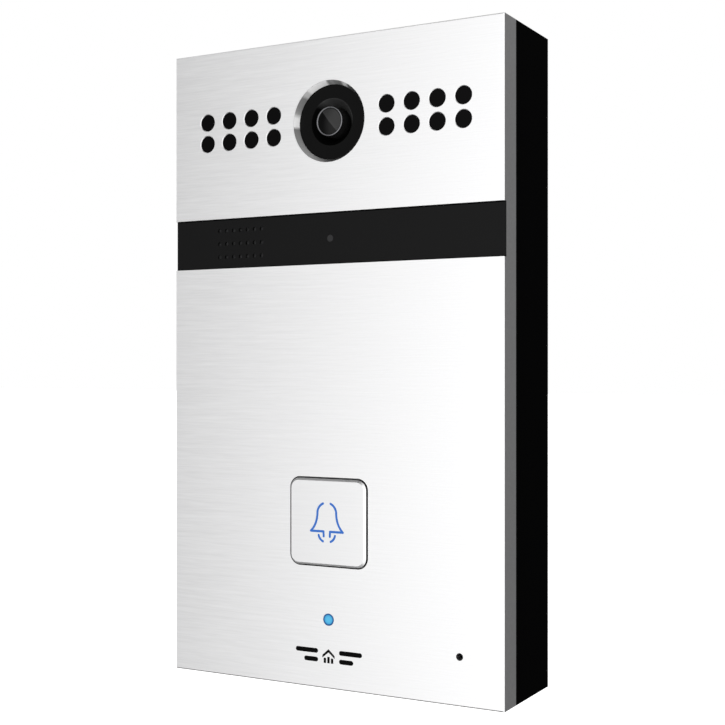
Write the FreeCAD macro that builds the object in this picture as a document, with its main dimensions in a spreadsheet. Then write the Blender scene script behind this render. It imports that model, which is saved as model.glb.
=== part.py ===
"""Door intercom panel: a wall-hung unit with a camera, a speaker and one call button.

Frame: +Z up, +X to the right as a visitor sees it, and the front faces -Y. The origin is the
middle of the wall side, so the wall is the plane y = 0 and a depth is a distance in front of it.
"""
import FreeCAD
import Part
import Sketcher

import math
import os
import re

doc = FreeCAD.newDocument("door_intercom_panel")

# ---------------------------------------------------------------- driving dimensions, in mm

DIMENSIONS = {
    # the casing
    "panel_width": 104.4,
    "panel_height": 180.0,
    "panel_depth": 8.1,
    "panel_face": 2.5,
    "panel_wall": 2.6,
    "edge_chamfer": 0.35,
    "housing_depth": 23.5,
    "housing_wall": 2.6,
    "housing_floor": 2.0,
    "recess_depth": 7.0,
    "recess_rim": 4.0,
    "recess_radius": 3.0,
    "gasket_width": 1.0,
    "gasket_height": 0.8,
    # clearances
    "fit_gap": 0.05,
    "slide_gap": 0.2,
    "board_gap": 3.1,
    "through": 1.0,
    # casing screws and their posts
    "post_inset": 7.0,
    "post_radius": 3.5,
    "seat_rise": 3.0,
    "screw_radius": 1.5,
    "screw_head_radius": 2.75,
    "screw_head_height": 2.0,
    "casing_screw_length": 16.0,
    "board_screw_length": 3.2,
    "small_screw_radius": 1.0,
    "small_head_radius": 1.9,
    "small_head_height": 1.2,
    "small_screw_length": 3.6,
    "socket_share": 0.5,
    # camera
    "camera_drop": 23.2,
    "trim_radius": 11.35,
    "trim_edge": 0.15,
    "trim_wall": 0.9,
    "trim_taper": 1.8,
    "trim_flange_overlap": 1.25,
    "trim_flange": 0.8,
    "hood_mouth": 6.5,
    "hood_throat": 4.35,
    "hood_funnel": 3.2,
    "hood_flange_overlap": 1.65,
    "hood_flange": 1.5,
    "hood_tube_radius": 7.6,
    "hood_tube": 4.2,
    "nose_radius": 4.15,
    "nose_setback": 0.3,
    "nose_length": 9.3,
    "rim_height": 0.6,
    "rim_bore": 3.6,
    "front_lens_rise": 0.5,
    "barrel_radius": 6.0,
    "barrel_bore": 2.6,
    "rear_lens_radius": 4.2,
    "rear_lens_height": 1.4,
    "holder_width": 28.0,
    "holder_height": 14.5,
    "holder_wall": 1.2,
    "holder_gap": 0.9,
    "holder_tube_wall": 1.4,
    "bay_slot_width": 24.2,
    "bay_slot_height": 9.4,
    "bay_slot_depth": 3.4,
    "sensor_side": 8.0,
    "sensor_height": 1.2,
    "retainer_rise": 1.4,
    "retainer_height": 0.4,
    "filter_travel": 7.8,
    "filter_window": 6.4,
    "filter_frame_width": 15.6,
    "filter_frame_height": 8.8,
    "filter_frame_depth": 1.0,
    "filter_glass_depth": 0.5,
    "coil_width": 5.0,
    "coil_height": 10.0,
    "coil_depth": 4.4,
    "camera_board_width": 46.0,
    "camera_board_height": 24.0,
    "camera_board_depth": 1.2,
    "camera_screw_inset": 2.8,
    # infra-red lamps either side of the camera
    "lamp_start": 6.65,
    "lamp_pitch": 7.57,
    "lamp_row_pitch": 6.2,
    "lamp_hole_radius": 2.4,
    "lamp_hole_chamfer": 0.15,
    "lamp_setback": 0.4,
    "lamp_plate_margin": 4.1,
    "lamp_plate": 1.2,
    "lamp_plate_radius": 1.2,
    "lamp_radius": 1.5,
    "lamp_flange_radius": 1.75,
    "lamp_flange": 0.8,
    "lamp_length": 5.2,
    "lamp_board": 1.2,
    "lamp_boss_radius": 1.6,
    # black strip with the speaker holes and the light sensor
    "strip_drop": 55.5,
    "channel_height": 14.4,
    "channel_depth": 1.5,
    "strip_depth": 0.6,
    "strip_gap": 0.3,
    "sound_inset": 22.35,
    "sound_pitch": 2.4,
    "sound_row_pitch": 3.8,
    "sound_hole_radius": 0.6,
    "sound_window_width": 17.4,
    "sound_window_height": 10.6,
    "sound_window_radius": 2.0,
    "mesh_depth": 0.3,
    "speaker_radius": 14.0,
    "speaker_wall": 1.2,
    "speaker_depth": 5.5,
    "speaker_pad": 0.8,
    "magnet_radius": 8.0,
    "magnet_height": 3.0,
    "cone_depth": 2.2,
    "cone_thick": 0.4,
    "sensor_hole_radius": 1.0,
    "sensor_pipe_radius": 1.6,
    "sensor_chip": 2.4,
    "sensor_chip_height": 1.0,
    # call button
    "button_rise": 46.0,
    "button_opening": 24.8,
    "button_opening_radius": 3.2,
    "button_gap": 0.4,
    "button_proud": 0.95,
    "button_chamfer": 0.58,
    "button_face": 1.2,
    "button_depth": 3.25,
    "button_wall": 2.2,
    "button_travel": 0.6,
    "icon_scale": 0.96,
    "icon_stroke": 0.66,
    "icon_gap": 0.03,
    "guide_plate": 0.8,
    "guide_leg_x": 8.0,
    "guide_leg_radius": 1.6,
    "guide_leg_rise": 1.0,
    "carrier_step": 1.0,
    "carrier_overlap": 1.5,
    "carrier_thick": 1.4,
    "carrier_post_radius": 2.5,
    "retainer_edge": 0.5,
    "retainer_ledge": 3.4,
    "retainer_thick": 1.2,
    "retainer_boss_radius": 2.3,
    "switch_side": 6.2,
    "switch_height": 3.5,
    "stem_radius": 1.7,
    "stem_sunk": 1.2,
    "stem_length": 4.0,
    "lamp_chip_width": 3.2,
    "lamp_chip_height": 1.8,
    # status light and microphone
    "status_rise": 19.1,
    "status_radius": 1.7,
    "status_flange_radius": 2.6,
    "status_flange": 0.8,
    "status_pipe_radius": 1.4,
    "mic_rise": 13.0,
    "mic_inset": 12.55,
    "mic_hole_radius": 1.0,
    "mic_radius": 3.0,
    "mic_height": 2.7,
    "mic_boot_radius": 4.2,
    "mic_boot_depth": 4.2,
    # main board and what stands on it
    "standoff": 3.5,
    "standoff_radius": 3.0,
    "board_depth": 1.6,
    "board_drop": 42.0,
    "board_rise": 10.8,
    "board_screw_inset": 4.0,
    "shield_width": 34.0,
    "shield_height": 26.0,
    "shield_depth": 2.6,
    "shield_wall": 0.4,
    "shield_z": 8.0,
    "relay_width": 15.0,
    "relay_height": 19.0,
    "relay_depth": 10.2,
    "relay_x": -28.0,
    "relay_z": 4.0,
    "can_radius": 4.0,
    "can_depth": 11.0,
    "can_pitch": 9.6,
    "can_x": -35.0,
    "can_z": -15.0,
    "connector_width": 13.0,
    "connector_height": 4.0,
    "connector_depth": 2.0,
    "ribbon_width": 10.0,
    "ribbon_depth": 0.3,
    # wiring bay in the back
    "bay_width": 76.0,
    "bay_height": 50.0,
    "bay_centre": -17.0,
    "bay_radius": 3.0,
    "port_x": 17.0,
    "port_width": 16.2,
    "port_height": 18.0,
    "port_depth": 11.0,
    "port_hole_width": 12.0,
    "port_hole_depth": 8.6,
    "port_hole_length": 14.0,
    "port_mouth": -13.0,
    "terminal_x": -17.0,
    "terminal_pitch": 3.81,
    "terminal_width": 32.0,
    "terminal_height": 11.0,
    "terminal_depth": 9.0,
    "terminal_hole_radius": 1.3,
    "terminal_screw_radius": 1.4,
    "terminal_well": 1.8,
    "terminal_mouth": -6.0,
    # wall bracket
    "bracket_gap": 2.0,
    "bracket_thick": 1.2,
    "wall_hole_x": 30.0,
    "wall_hole_z": 60.0,
    "wall_hole_radius": 2.25,
    "window_width": 60.0,
    "window_height": 40.0,
    "hook_x": 18.0,
    "hook_z": 44.0,
    "hook_width": 12.0,
    "hook_clearance": 2.0,
    "hook_lip": 3.0,
    "hook_slot": 5.0,
    "bar_height": 2.5,
    "bar_clearance": 0.6,
    "bar_post": 1.6,
    "lock_x": 12.0,
    "lock_depth": 4.0,
    "lock_flange_width": 38.0,
    "lock_head_sink": 2.4,
    "lock_screw_length": 9.0,
    # tamper switch
    "tamper_x": 30.0,
    "tamper_z": 24.0,
    "tamper_travel": 2.5,
    "tamper_radius": 2.0,
    "tamper_hole_gap": 0.8,
    "tamper_collar_radius": 3.2,
    "tamper_collar": 0.8,
    "tamper_guide_radius": 5.0,
    "tamper_end_wall": 1.0,
    "tamper_switch_side": 8.0,
    "tamper_switch_height": 2.2,
}

# ---------------------------------------------------------------- derived places, as expressions

FRONT = "(housing_depth + panel_depth)"
INNER = f"({FRONT} - panel_face)"
FLOOR = "(recess_depth + housing_floor)"
SEAT = "(recess_depth + seat_rise)"
TOP = "(panel_height / 2)"
SIDE = "(panel_width / 2)"
POST_X = f"({SIDE} - post_inset)"
POST_Z = f"({TOP} - post_inset)"

BOARD_BACK = f"({FLOOR} + standoff)"
BOARD_FRONT = f"({BOARD_BACK} + board_depth)"
BOARD_WIDTH = "(panel_width - 2 * housing_wall - 2 * board_gap)"
BOARD_TOP = f"({TOP} - board_drop)"
BOARD_BOTTOM = f"(board_rise - {TOP})"
BOARD_HEIGHT = f"({BOARD_TOP} - {BOARD_BOTTOM})"
BOARD_MIDDLE = f"(({BOARD_TOP} + {BOARD_BOTTOM}) / 2)"
BOARD_SCREW_X = f"({BOARD_WIDTH} / 2 - board_screw_inset)"

CAMERA_Z = f"({TOP} - camera_drop)"
TRIM_MOUTH = "(trim_radius - trim_edge)"
TRIM_BORE = "(trim_radius - trim_wall)"
CAMERA_BOARD_FRONT = f"({BOARD_BACK} + camera_board_depth)"
CAMERA_SCREW_X = "(camera_board_width / 2 - camera_screw_inset)"
CAMERA_SCREW_REACH = "(camera_board_height / 2 - camera_screw_inset)"
HOOD_FRONT = f"({FRONT} - trim_taper)"
TRIM_BACK = f"({INNER} - trim_flange)"
HOOD_BACK = f"({TRIM_BACK} - hood_flange)"
NOSE_FRONT = f"({FRONT} - nose_setback)"
NOSE_BACK = f"({NOSE_FRONT} - nose_length)"
SLOT_TOP = f"({CAMERA_BOARD_FRONT} + bay_slot_depth)"
HOLDER_SEAT = f"({SLOT_TOP} + holder_wall)"
HOLDER_TUBE = f"({HOOD_BACK} - hood_tube - holder_gap - {HOLDER_SEAT})"
FILTER_X = "(filter_travel / 2)"
FILTER_BACK = f"({CAMERA_BOARD_FRONT} + retainer_rise + retainer_height + slide_gap)"

LAMP_PLATE_BACK = f"({INNER} - lamp_plate)"
LAMP_SPAN = "(3 * lamp_pitch)"
LAMP_FIRST = "(trim_radius + lamp_start)"
LAMP_MIDDLE = f"({LAMP_FIRST} + {LAMP_SPAN} / 2)"
LAMP_PLATE_WIDTH = f"({LAMP_SPAN} + 2 * lamp_plate_margin)"
LAMP_PLATE_HEIGHT = "(lamp_row_pitch + 2 * lamp_plate_margin)"
LAMP_BOARD_FRONT = f"({LAMP_PLATE_BACK} - slide_gap - lamp_length)"
LAMP_BOARD_BACK = f"({LAMP_BOARD_FRONT} - lamp_board)"

STRIP_Z = f"({TOP} - strip_drop)"
CHANNEL_FLOOR = f"({FRONT} - channel_depth)"
SOUND_X = f"(sound_inset - {SIDE})"
SPEAKER_FRONT = f"({INNER} - speaker_pad)"
SPEAKER_BACK = f"({SPEAKER_FRONT} - speaker_depth)"

BUTTON_Z = f"(button_rise - {TOP})"
BUTTON_SIDE = "(button_opening - 2 * button_gap)"
BUTTON_FRONT = f"({FRONT} + button_proud)"
BUTTON_BACK = f"({BUTTON_FRONT} - button_depth)"
CAP_FACE_BACK = f"({BUTTON_FRONT} - button_face)"
CARRIER_FLANGE = "(button_opening + 2 * carrier_overlap)"
RETAINER_AT = f"({CARRIER_FLANGE} / 2 + retainer_boss_radius)"
RETAINER_SIDE = f"(2 * ({RETAINER_AT} + retainer_boss_radius + retainer_edge))"
RETAINER_OPENING = f"({CARRIER_FLANGE} - 2 * retainer_ledge)"
FLANGE_FRONT = f"({BUTTON_BACK} - carrier_step)"
FLANGE_BACK = f"({FLANGE_FRONT} - carrier_thick)"
RETAINER_FRONT = f"({FLANGE_BACK} - button_travel - slide_gap)"
RETAINER_BACK = f"({RETAINER_FRONT} - retainer_thick)"
SWITCH_FRONT = f"({BOARD_FRONT} + switch_height)"
STEM_BACK = f"({SWITCH_FRONT} - stem_sunk)"
STEM_FRONT = f"({STEM_BACK} + stem_length)"

STATUS_Z = f"(status_rise - {TOP})"
MIC_X = f"({SIDE} - mic_inset)"
MIC_Z = f"(mic_rise - {TOP})"

RECESS_WIDTH = "(panel_width - 2 * recess_rim)"
RECESS_HEIGHT = "(panel_height - 2 * recess_rim)"
BRACKET_WIDTH = f"({RECESS_WIDTH} - 2 * bracket_gap)"
BRACKET_HEIGHT = f"({RECESS_HEIGHT} - 2 * bracket_gap)"
BRACKET_BOTTOM = f"(-{BRACKET_HEIGHT} / 2)"
HOOK_REACH = "(recess_depth - hook_clearance)"
LIP_BACK = f"({HOOK_REACH} - bracket_thick)"
BAR_BACK = "(bracket_thick + bar_clearance)"
LOCK_REACH = "(recess_depth - 2 * slide_gap)"
COLLAR_BACK = f"({BAR_BACK} + tamper_end_wall + slide_gap + tamper_travel)"
TAMPER_SWITCH_BACK = f"({BOARD_BACK} - tamper_switch_height)"

# ---------------------------------------------------------------- the sheet

sheet = doc.addObject("Spreadsheet::Sheet", "Sizes")
for row, (alias, size) in enumerate(DIMENSIONS.items(), start=1):
    sheet.set(f"A{row}", alias)
    sheet.set(f"B{row}", str(size))
    sheet.setAlias(f"B{row}", alias)
doc.recompute()

FACING_FRONT = FreeCAD.Rotation(FreeCAD.Vector(1, 0, 0), 90)
FACING_UP = FreeCAD.Rotation()


def cells(expression):
    """Write the sheet's name in front of each alias of an expression."""
    def named(match):
        word = match.group()
        return f"Sizes.{word}" if word in DIMENSIONS else word
    return re.sub(r"[a-z][a-z_]*", named, str(expression))


def value(expression):
    """The number that an expression has now."""
    return float(sheet.evalExpression(cells(expression)))


def bind(thing, size, expression):
    """Tie one size of an object to the sheet."""
    thing.setExpression(size, cells(expression))


# ---------------------------------------------------------------- plain pieces


def place(piece, x, depth, z, turn=FACING_UP):
    """Stand a piece at x and z, a depth in front of the wall, and keep it tied to the sheet."""
    piece.Placement = FreeCAD.Placement(FreeCAD.Vector(), turn)
    bind(piece, ".Placement.Base.x", x)
    bind(piece, ".Placement.Base.y", f"-({depth})")
    bind(piece, ".Placement.Base.z", z)
    return piece


def block(name, width, height, thick, x, z, depth):
    """A box centred on x and z, from depth to depth + thick."""
    box = doc.addObject("Part::Box", name)
    bind(box, "Length", width)
    bind(box, "Width", thick)
    bind(box, "Height", height)
    left = f"({x}) - ({width}) / 2"
    bottom = f"({z}) - ({height}) / 2"
    return place(box, left, f"({depth}) + ({thick})", bottom)


def rod(name, radius, length, x, z, depth):
    """A round bar that points to the front, from depth to depth + length."""
    bar = doc.addObject("Part::Cylinder", name)
    bind(bar, "Radius", radius)
    bind(bar, "Height", length)
    return place(bar, x, depth, z, FACING_FRONT)


def taper(name, back_radius, front_radius, length, x, z, depth):
    """A cone that points to the front, from depth to depth + length."""
    cone = doc.addObject("Part::Cone", name)
    bind(cone, "Radius1", back_radius)
    bind(cone, "Radius2", front_radius)
    bind(cone, "Height", length)
    return place(cone, x, depth, z, FACING_FRONT)


def upright(name, radius, length, x, z, depth):
    """A round bar that points up, from z to z + length."""
    bar = doc.addObject("Part::Cylinder", name)
    bind(bar, "Radius", radius)
    bind(bar, "Height", length)
    return place(bar, x, depth, z)


def joined(name, *pieces):
    """Several pieces made one solid."""
    union = doc.addObject("Part::MultiFuse", name)
    union.Shapes = list(pieces)
    union.Refine = True
    return union


def group(name, *pieces):
    """Several separate solids that are one sub-part."""
    several = doc.addObject("Part::Compound", name)
    several.Links = list(pieces)
    return several


def less(name, piece, *tools):
    """A piece with some tools cut out of it."""
    cut = doc.addObject("Part::Cut", name)
    cut.Base = piece
    cut.Tool = tools[0] if len(tools) == 1 else joined(f"{name}_tools", *tools)
    return cut


def ring(name, outer, inner, length, x, z, depth):
    """A flat round washer."""
    bore_depth = f"({depth}) - through"
    bore = rod(f"{name}_bore", inner, f"({length}) + 2 * through", x, z, bore_depth)
    return less(name, rod(f"{name}_disc", outer, length, x, z, depth), bore)


# ---------------------------------------------------------------- sketched bodies


def constrain(sketch, expression, kind, *where):
    """Add one sketch dimension, tied to the sheet."""
    index = sketch.addConstraint(Sketcher.Constraint(kind, *where, value(expression)))
    sketch.setExpression(f"Constraints[{index}]", cells(expression))


def circle(radius, x, z):
    """An outline: a circle."""
    def draw(sketch):
        centre = FreeCAD.Vector(value(x), value(z), 0)
        normal = FreeCAD.Vector(0, 0, 1)
        arc = sketch.addGeometry(Part.Circle(centre, normal, value(radius)))
        constrain(sketch, radius, "Radius", arc)
        constrain(sketch, x, "DistanceX", -1, 1, arc, 3)
        constrain(sketch, z, "DistanceY", -1, 1, arc, 3)
    return draw


def rectangle(width, height, x, z):
    """An outline: a rectangle centred on x and z."""
    def draw(sketch):
        left, right = value(f"{x} - {width} / 2"), value(f"{x} + {width} / 2")
        low, high = value(f"{z} - {height} / 2"), value(f"{z} + {height} / 2")
        corners = [(left, low), (right, low), (right, high), (left, high)]
        points = [FreeCAD.Vector(across, up, 0) for across, up in corners]
        ends = points[1:] + points[:1]
        sides = [sketch.addGeometry(Part.LineSegment(a, b)) for a, b in zip(points, ends)]
        for side, following in zip(sides, sides[1:] + sides[:1]):
            sketch.addConstraint(Sketcher.Constraint("Coincident", side, 2, following, 1))
        for level in (sides[0], sides[2]):
            sketch.addConstraint(Sketcher.Constraint("Horizontal", level))
        for plumb in (sides[1], sides[3]):
            sketch.addConstraint(Sketcher.Constraint("Vertical", plumb))
        constrain(sketch, width, "DistanceX", sides[0], 1, sides[0], 2)
        constrain(sketch, height, "DistanceY", sides[1], 1, sides[1], 2)
        constrain(sketch, f"{x} - {width} / 2", "DistanceX", -1, 1, sides[0], 1)
        constrain(sketch, f"{z} - {height} / 2", "DistanceY", -1, 1, sides[0], 1)
    return draw


def rounded(width, height, radius, x, z):
    """An outline: a rectangle with round corners, centred on x and z."""
    def draw(sketch):
        bend = value(radius)
        left, right = value(f"{x} - {width} / 2"), value(f"{x} + {width} / 2")
        low, high = value(f"{z} - {height} / 2"), value(f"{z} + {height} / 2")
        lines = [
            ((left + bend, low), (right - bend, low)),
            ((right, low + bend), (right, high - bend)),
            ((right - bend, high), (left + bend, high)),
            ((left, high - bend), (left, low + bend)),
        ]
        centres = [
            (right - bend, low + bend),
            (right - bend, high - bend),
            (left + bend, high - bend),
            (left + bend, low + bend),
        ]
        normal = FreeCAD.Vector(0, 0, 1)
        quarter = math.pi / 2
        sides = []
        bends = []
        for turn, (line, centre) in enumerate(zip(lines, centres)):
            start, end = (FreeCAD.Vector(across, up, 0) for across, up in line)
            sides.append(sketch.addGeometry(Part.LineSegment(start, end)))
            corner = Part.Circle(FreeCAD.Vector(*centre, 0), normal, bend)
            first = (turn - 1) * quarter
            arc = Part.ArcOfCircle(corner, first, first + quarter)
            bends.append(sketch.addGeometry(arc))
        for side, arc, following in zip(sides, bends, sides[1:] + sides[:1]):
            sketch.addConstraint(Sketcher.Constraint("Tangent", side, 2, arc, 1))
            sketch.addConstraint(Sketcher.Constraint("Tangent", arc, 2, following, 1))
        for arc in bends[1:]:
            sketch.addConstraint(Sketcher.Constraint("Equal", bends[0], arc))
        sketch.addConstraint(Sketcher.Constraint("Horizontal", sides[0]))
        sketch.addConstraint(Sketcher.Constraint("Vertical", sides[1]))
        constrain(sketch, radius, "Radius", bends[0])
        constrain(sketch, width, "DistanceX", sides[3], 1, sides[1], 2)
        constrain(sketch, height, "DistanceY", sides[0], 2, sides[2], 1)
        constrain(sketch, f"{x} - {width} / 2", "DistanceX", -1, 1, sides[3], 1)
        constrain(sketch, f"{z} - {height} / 2", "DistanceY", -1, 1, sides[0], 1)
    return draw


def facing_sketch(body, name, depth, outlines):
    """A sketch that faces the front, a depth in front of the wall."""
    sketch = body.newObject("Sketcher::SketchObject", name)
    wall = next(item for item in body.Origin.OriginFeatures if item.Role == "XZ_Plane")
    sketch.AttachmentSupport = [(wall, "")]
    sketch.MapMode = "FlatFace"
    bind(sketch, ".AttachmentOffset.Base.z", depth)
    for outline in outlines:
        outline(sketch)
    return sketch


def pad(body, name, depth, thick, *outlines):
    """Add the outlines' prism, from depth to depth + thick."""
    feature = body.newObject("PartDesign::Pad", name)
    feature.Profile = facing_sketch(body, f"{name}_sketch", depth, outlines)
    bind(feature, "Length", thick)
    doc.recompute()
    return feature


def pocket(body, name, depth, thick, *outlines):
    """Cut the outlines' prism out of the body, from depth to depth + thick."""
    before = body.Shape.Volume
    feature = body.newObject("PartDesign::Pocket", name)
    far = f"({depth}) + ({thick})"
    feature.Profile = facing_sketch(body, f"{name}_sketch", far, outlines)
    bind(feature, "Length", thick)
    doc.recompute()
    if body.Shape.Volume >= before:
        raise ValueError(f"{body.Label}: {name} removes nothing")
    return feature


def chamfer(body, name, size, wanted):
    """Chamfer the edges of the body's last feature that a test picks."""
    before = body.Shape.Volume
    last = body.Tip
    edges = enumerate(last.Shape.Edges, start=1)
    names = [f"Edge{number}" for number, edge in edges if wanted(edge)]
    feature = body.newObject("PartDesign::Chamfer", name)
    feature.Base = (last, names)
    bind(feature, "Size", size)
    doc.recompute()
    if body.Shape.Volume >= before:
        raise ValueError(f"{body.Label}: {name} removes nothing")
    return feature


def lies_at(edge, depth):
    """Whether an edge lies wholly in the plane at a depth."""
    box = edge.BoundBox
    level = -value(depth)
    return max(abs(box.YMin - level), abs(box.YMax - level)) < 1e-4


def is_circle(edge, radius):
    """Whether an edge is an arc or a circle of this radius."""
    return isinstance(edge.Curve, Part.Circle) and abs(edge.Curve.Radius - value(radius)) < 1e-4


def plate(name, thick, depth, *outlines):
    """A body that is one pad."""
    body = doc.addObject("PartDesign::Body", name)
    pad(body, f"{name}_pad", depth, thick, *outlines)
    return body


# ---------------------------------------------------------------- what repeats


def lamp_places(side):
    """The x and z of each infra-red lamp on one side: -1 left, 1 right."""
    columns = [f"{side} * ({LAMP_FIRST} + {column} * lamp_pitch)" for column in range(4)]
    rows = [f"({CAMERA_Z} - {row} * lamp_row_pitch / 2)" for row in (-1, 1)]
    return [(x, z) for x in columns for z in rows]


def lamp_boss_places(side):
    """The x and z of the two screws of one lamp board."""
    columns = [f"{side} * ({LAMP_MIDDLE} - lamp_pitch)", f"{side} * ({LAMP_MIDDLE} + lamp_pitch)"]
    return [(x, CAMERA_Z) for x in columns]


def corner_places(x, z, centre="0"):
    """Four places, x and z either side of a centre."""
    return [(f"{across} * ({x})", f"{centre} + {up} * ({z})") for across in (-1, 1) for up in (-1, 1)]


def board_screw_places():
    """The four screws of the main board."""
    reach = f"({BOARD_HEIGHT} / 2 - board_screw_inset)"
    return corner_places(BOARD_SCREW_X, reach, BOARD_MIDDLE)


def camera_screw_places():
    """The four screws of the camera board."""
    return corner_places(CAMERA_SCREW_X, CAMERA_SCREW_REACH, CAMERA_Z)


def retainer_screw_places():
    """The four screws of the frame behind the call button."""
    return corner_places(RETAINER_AT, RETAINER_AT, BUTTON_Z)


def sound_holes():
    """The speaker's holes in the strip, seven across and three down."""
    columns = [f"({SOUND_X} + {column} * sound_pitch)" for column in range(-3, 4)]
    rows = [f"({STRIP_Z} + {row} * sound_row_pitch)" for row in (-1, 0, 1)]
    return [circle("sound_hole_radius", x, z) for x in columns for z in rows]


def screw(name, size, length, x, z, seat, head_behind):
    """A pan-head screw with a hexagon socket; its head's under side is at the depth seat."""
    radius, head_radius, head = size
    seat_back = f"({seat}) - ({head})"
    head_start = seat_back if head_behind else seat
    shank_start = seat if head_behind else f"({seat}) - ({length})"
    cap = rod(f"{name}_head", head_radius, head, x, z, head_start)
    shank = rod(f"{name}_shank", radius, length, x, z, shank_start)
    socket = doc.addObject("Part::Prism", f"{name}_socket")
    bind(socket, "Circumradius", f"({head_radius}) * socket_share")
    bind(socket, "Height", head)
    socket_start = f"({seat}) - 1.5 * ({head})" if head_behind else f"({seat}) + ({head}) / 2"
    place(socket, x, socket_start, z, FACING_FRONT)
    return less(name, joined(f"{name}_blank", cap, shank), socket)


CASING_SCREW = ("screw_radius", "screw_head_radius", "screw_head_height")
SMALL_SCREW = ("small_screw_radius", "small_head_radius", "small_head_height")


def screws(name, size, length, places, seat, head_behind):
    """A group of the same screw at several places."""
    numbered = enumerate(places, start=1)
    made = [screw(f"{name}_{n}", size, length, x, z, seat, head_behind) for n, (x, z) in numbered]
    return made


# ---------------------------------------------------------------- casing


def front_panel():
    """The brushed aluminium front: a face with a skirt, pierced for all that shows."""
    body = doc.addObject("PartDesign::Body", "front_panel")
    outline = rectangle("panel_width", "panel_height", "0", "0")
    pad(body, "panel_block", "housing_depth", "panel_depth", outline)
    chamfer(body, "panel_edge", "edge_chamfer", lambda edge: lies_at(edge, FRONT))
    inside = rectangle("(panel_width - 2 * panel_wall)", "(panel_height - 2 * panel_wall)", "0", "0")
    pocket(body, "panel_inside", "housing_depth", "panel_depth - panel_face", inside)
    posts = [circle("post_radius", x, z) for x, z in corner_places(POST_X, POST_Z)]
    pad(body, "panel_posts", "housing_depth", "panel_depth - panel_face", *posts)
    lamp_bosses = [circle("lamp_boss_radius", x, z) for side in (-1, 1) for x, z in lamp_boss_places(side)]
    pad(body, "panel_lamp_bosses", LAMP_BOARD_FRONT, f"{INNER} - {LAMP_BOARD_FRONT}", *lamp_bosses)
    retainer_bosses = [circle("retainer_boss_radius", x, z) for x, z in retainer_screw_places()]
    reach = f"{INNER} - {RETAINER_FRONT}"
    pad(body, "panel_button_bosses", RETAINER_FRONT, reach, *retainer_bosses)
    channel = rectangle("(panel_width + 2 * through)", "channel_height", "0", STRIP_Z)
    pocket(body, "panel_channel", CHANNEL_FLOOR, "channel_depth + through", channel)
    lamp_holes = [circle("lamp_hole_radius", x, z) for side in (-1, 1) for x, z in lamp_places(side)]
    openings = [
        circle("trim_radius", "0", CAMERA_Z),
        rounded("button_opening", "button_opening", "button_opening_radius", "0", BUTTON_Z),
        circle("status_radius", "0", STATUS_Z),
        circle("mic_hole_radius", MIC_X, MIC_Z),
        rounded("sound_window_width", "sound_window_height", "sound_window_radius", SOUND_X, STRIP_Z),
        circle("sensor_pipe_radius + fit_gap", "0", STRIP_Z),
    ]
    face_start = f"{INNER} - through"
    pocket(body, "panel_openings", face_start, "panel_face + 2 * through", *openings, *lamp_holes)
    chamfer(body, "panel_lamp_edges", "lamp_hole_chamfer",
            lambda edge: lies_at(edge, FRONT) and is_circle(edge, "lamp_hole_radius"))
    threads = [circle("screw_radius + fit_gap", x, z) for x, z in corner_places(POST_X, POST_Z)]
    pocket(body, "panel_threads", "housing_depth", "casing_screw_length / 3", *threads)
    small_thread = "small_screw_radius + fit_gap"
    threads = [circle(small_thread, x, z) for side in (-1, 1) for x, z in lamp_boss_places(side)]
    pocket(body, "panel_lamp_threads", LAMP_BOARD_FRONT, "small_screw_length", *threads)
    threads = [circle(small_thread, x, z) for x, z in retainer_screw_places()]
    pocket(body, "panel_button_threads", RETAINER_FRONT, "small_screw_length", *threads)
    return body


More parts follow.
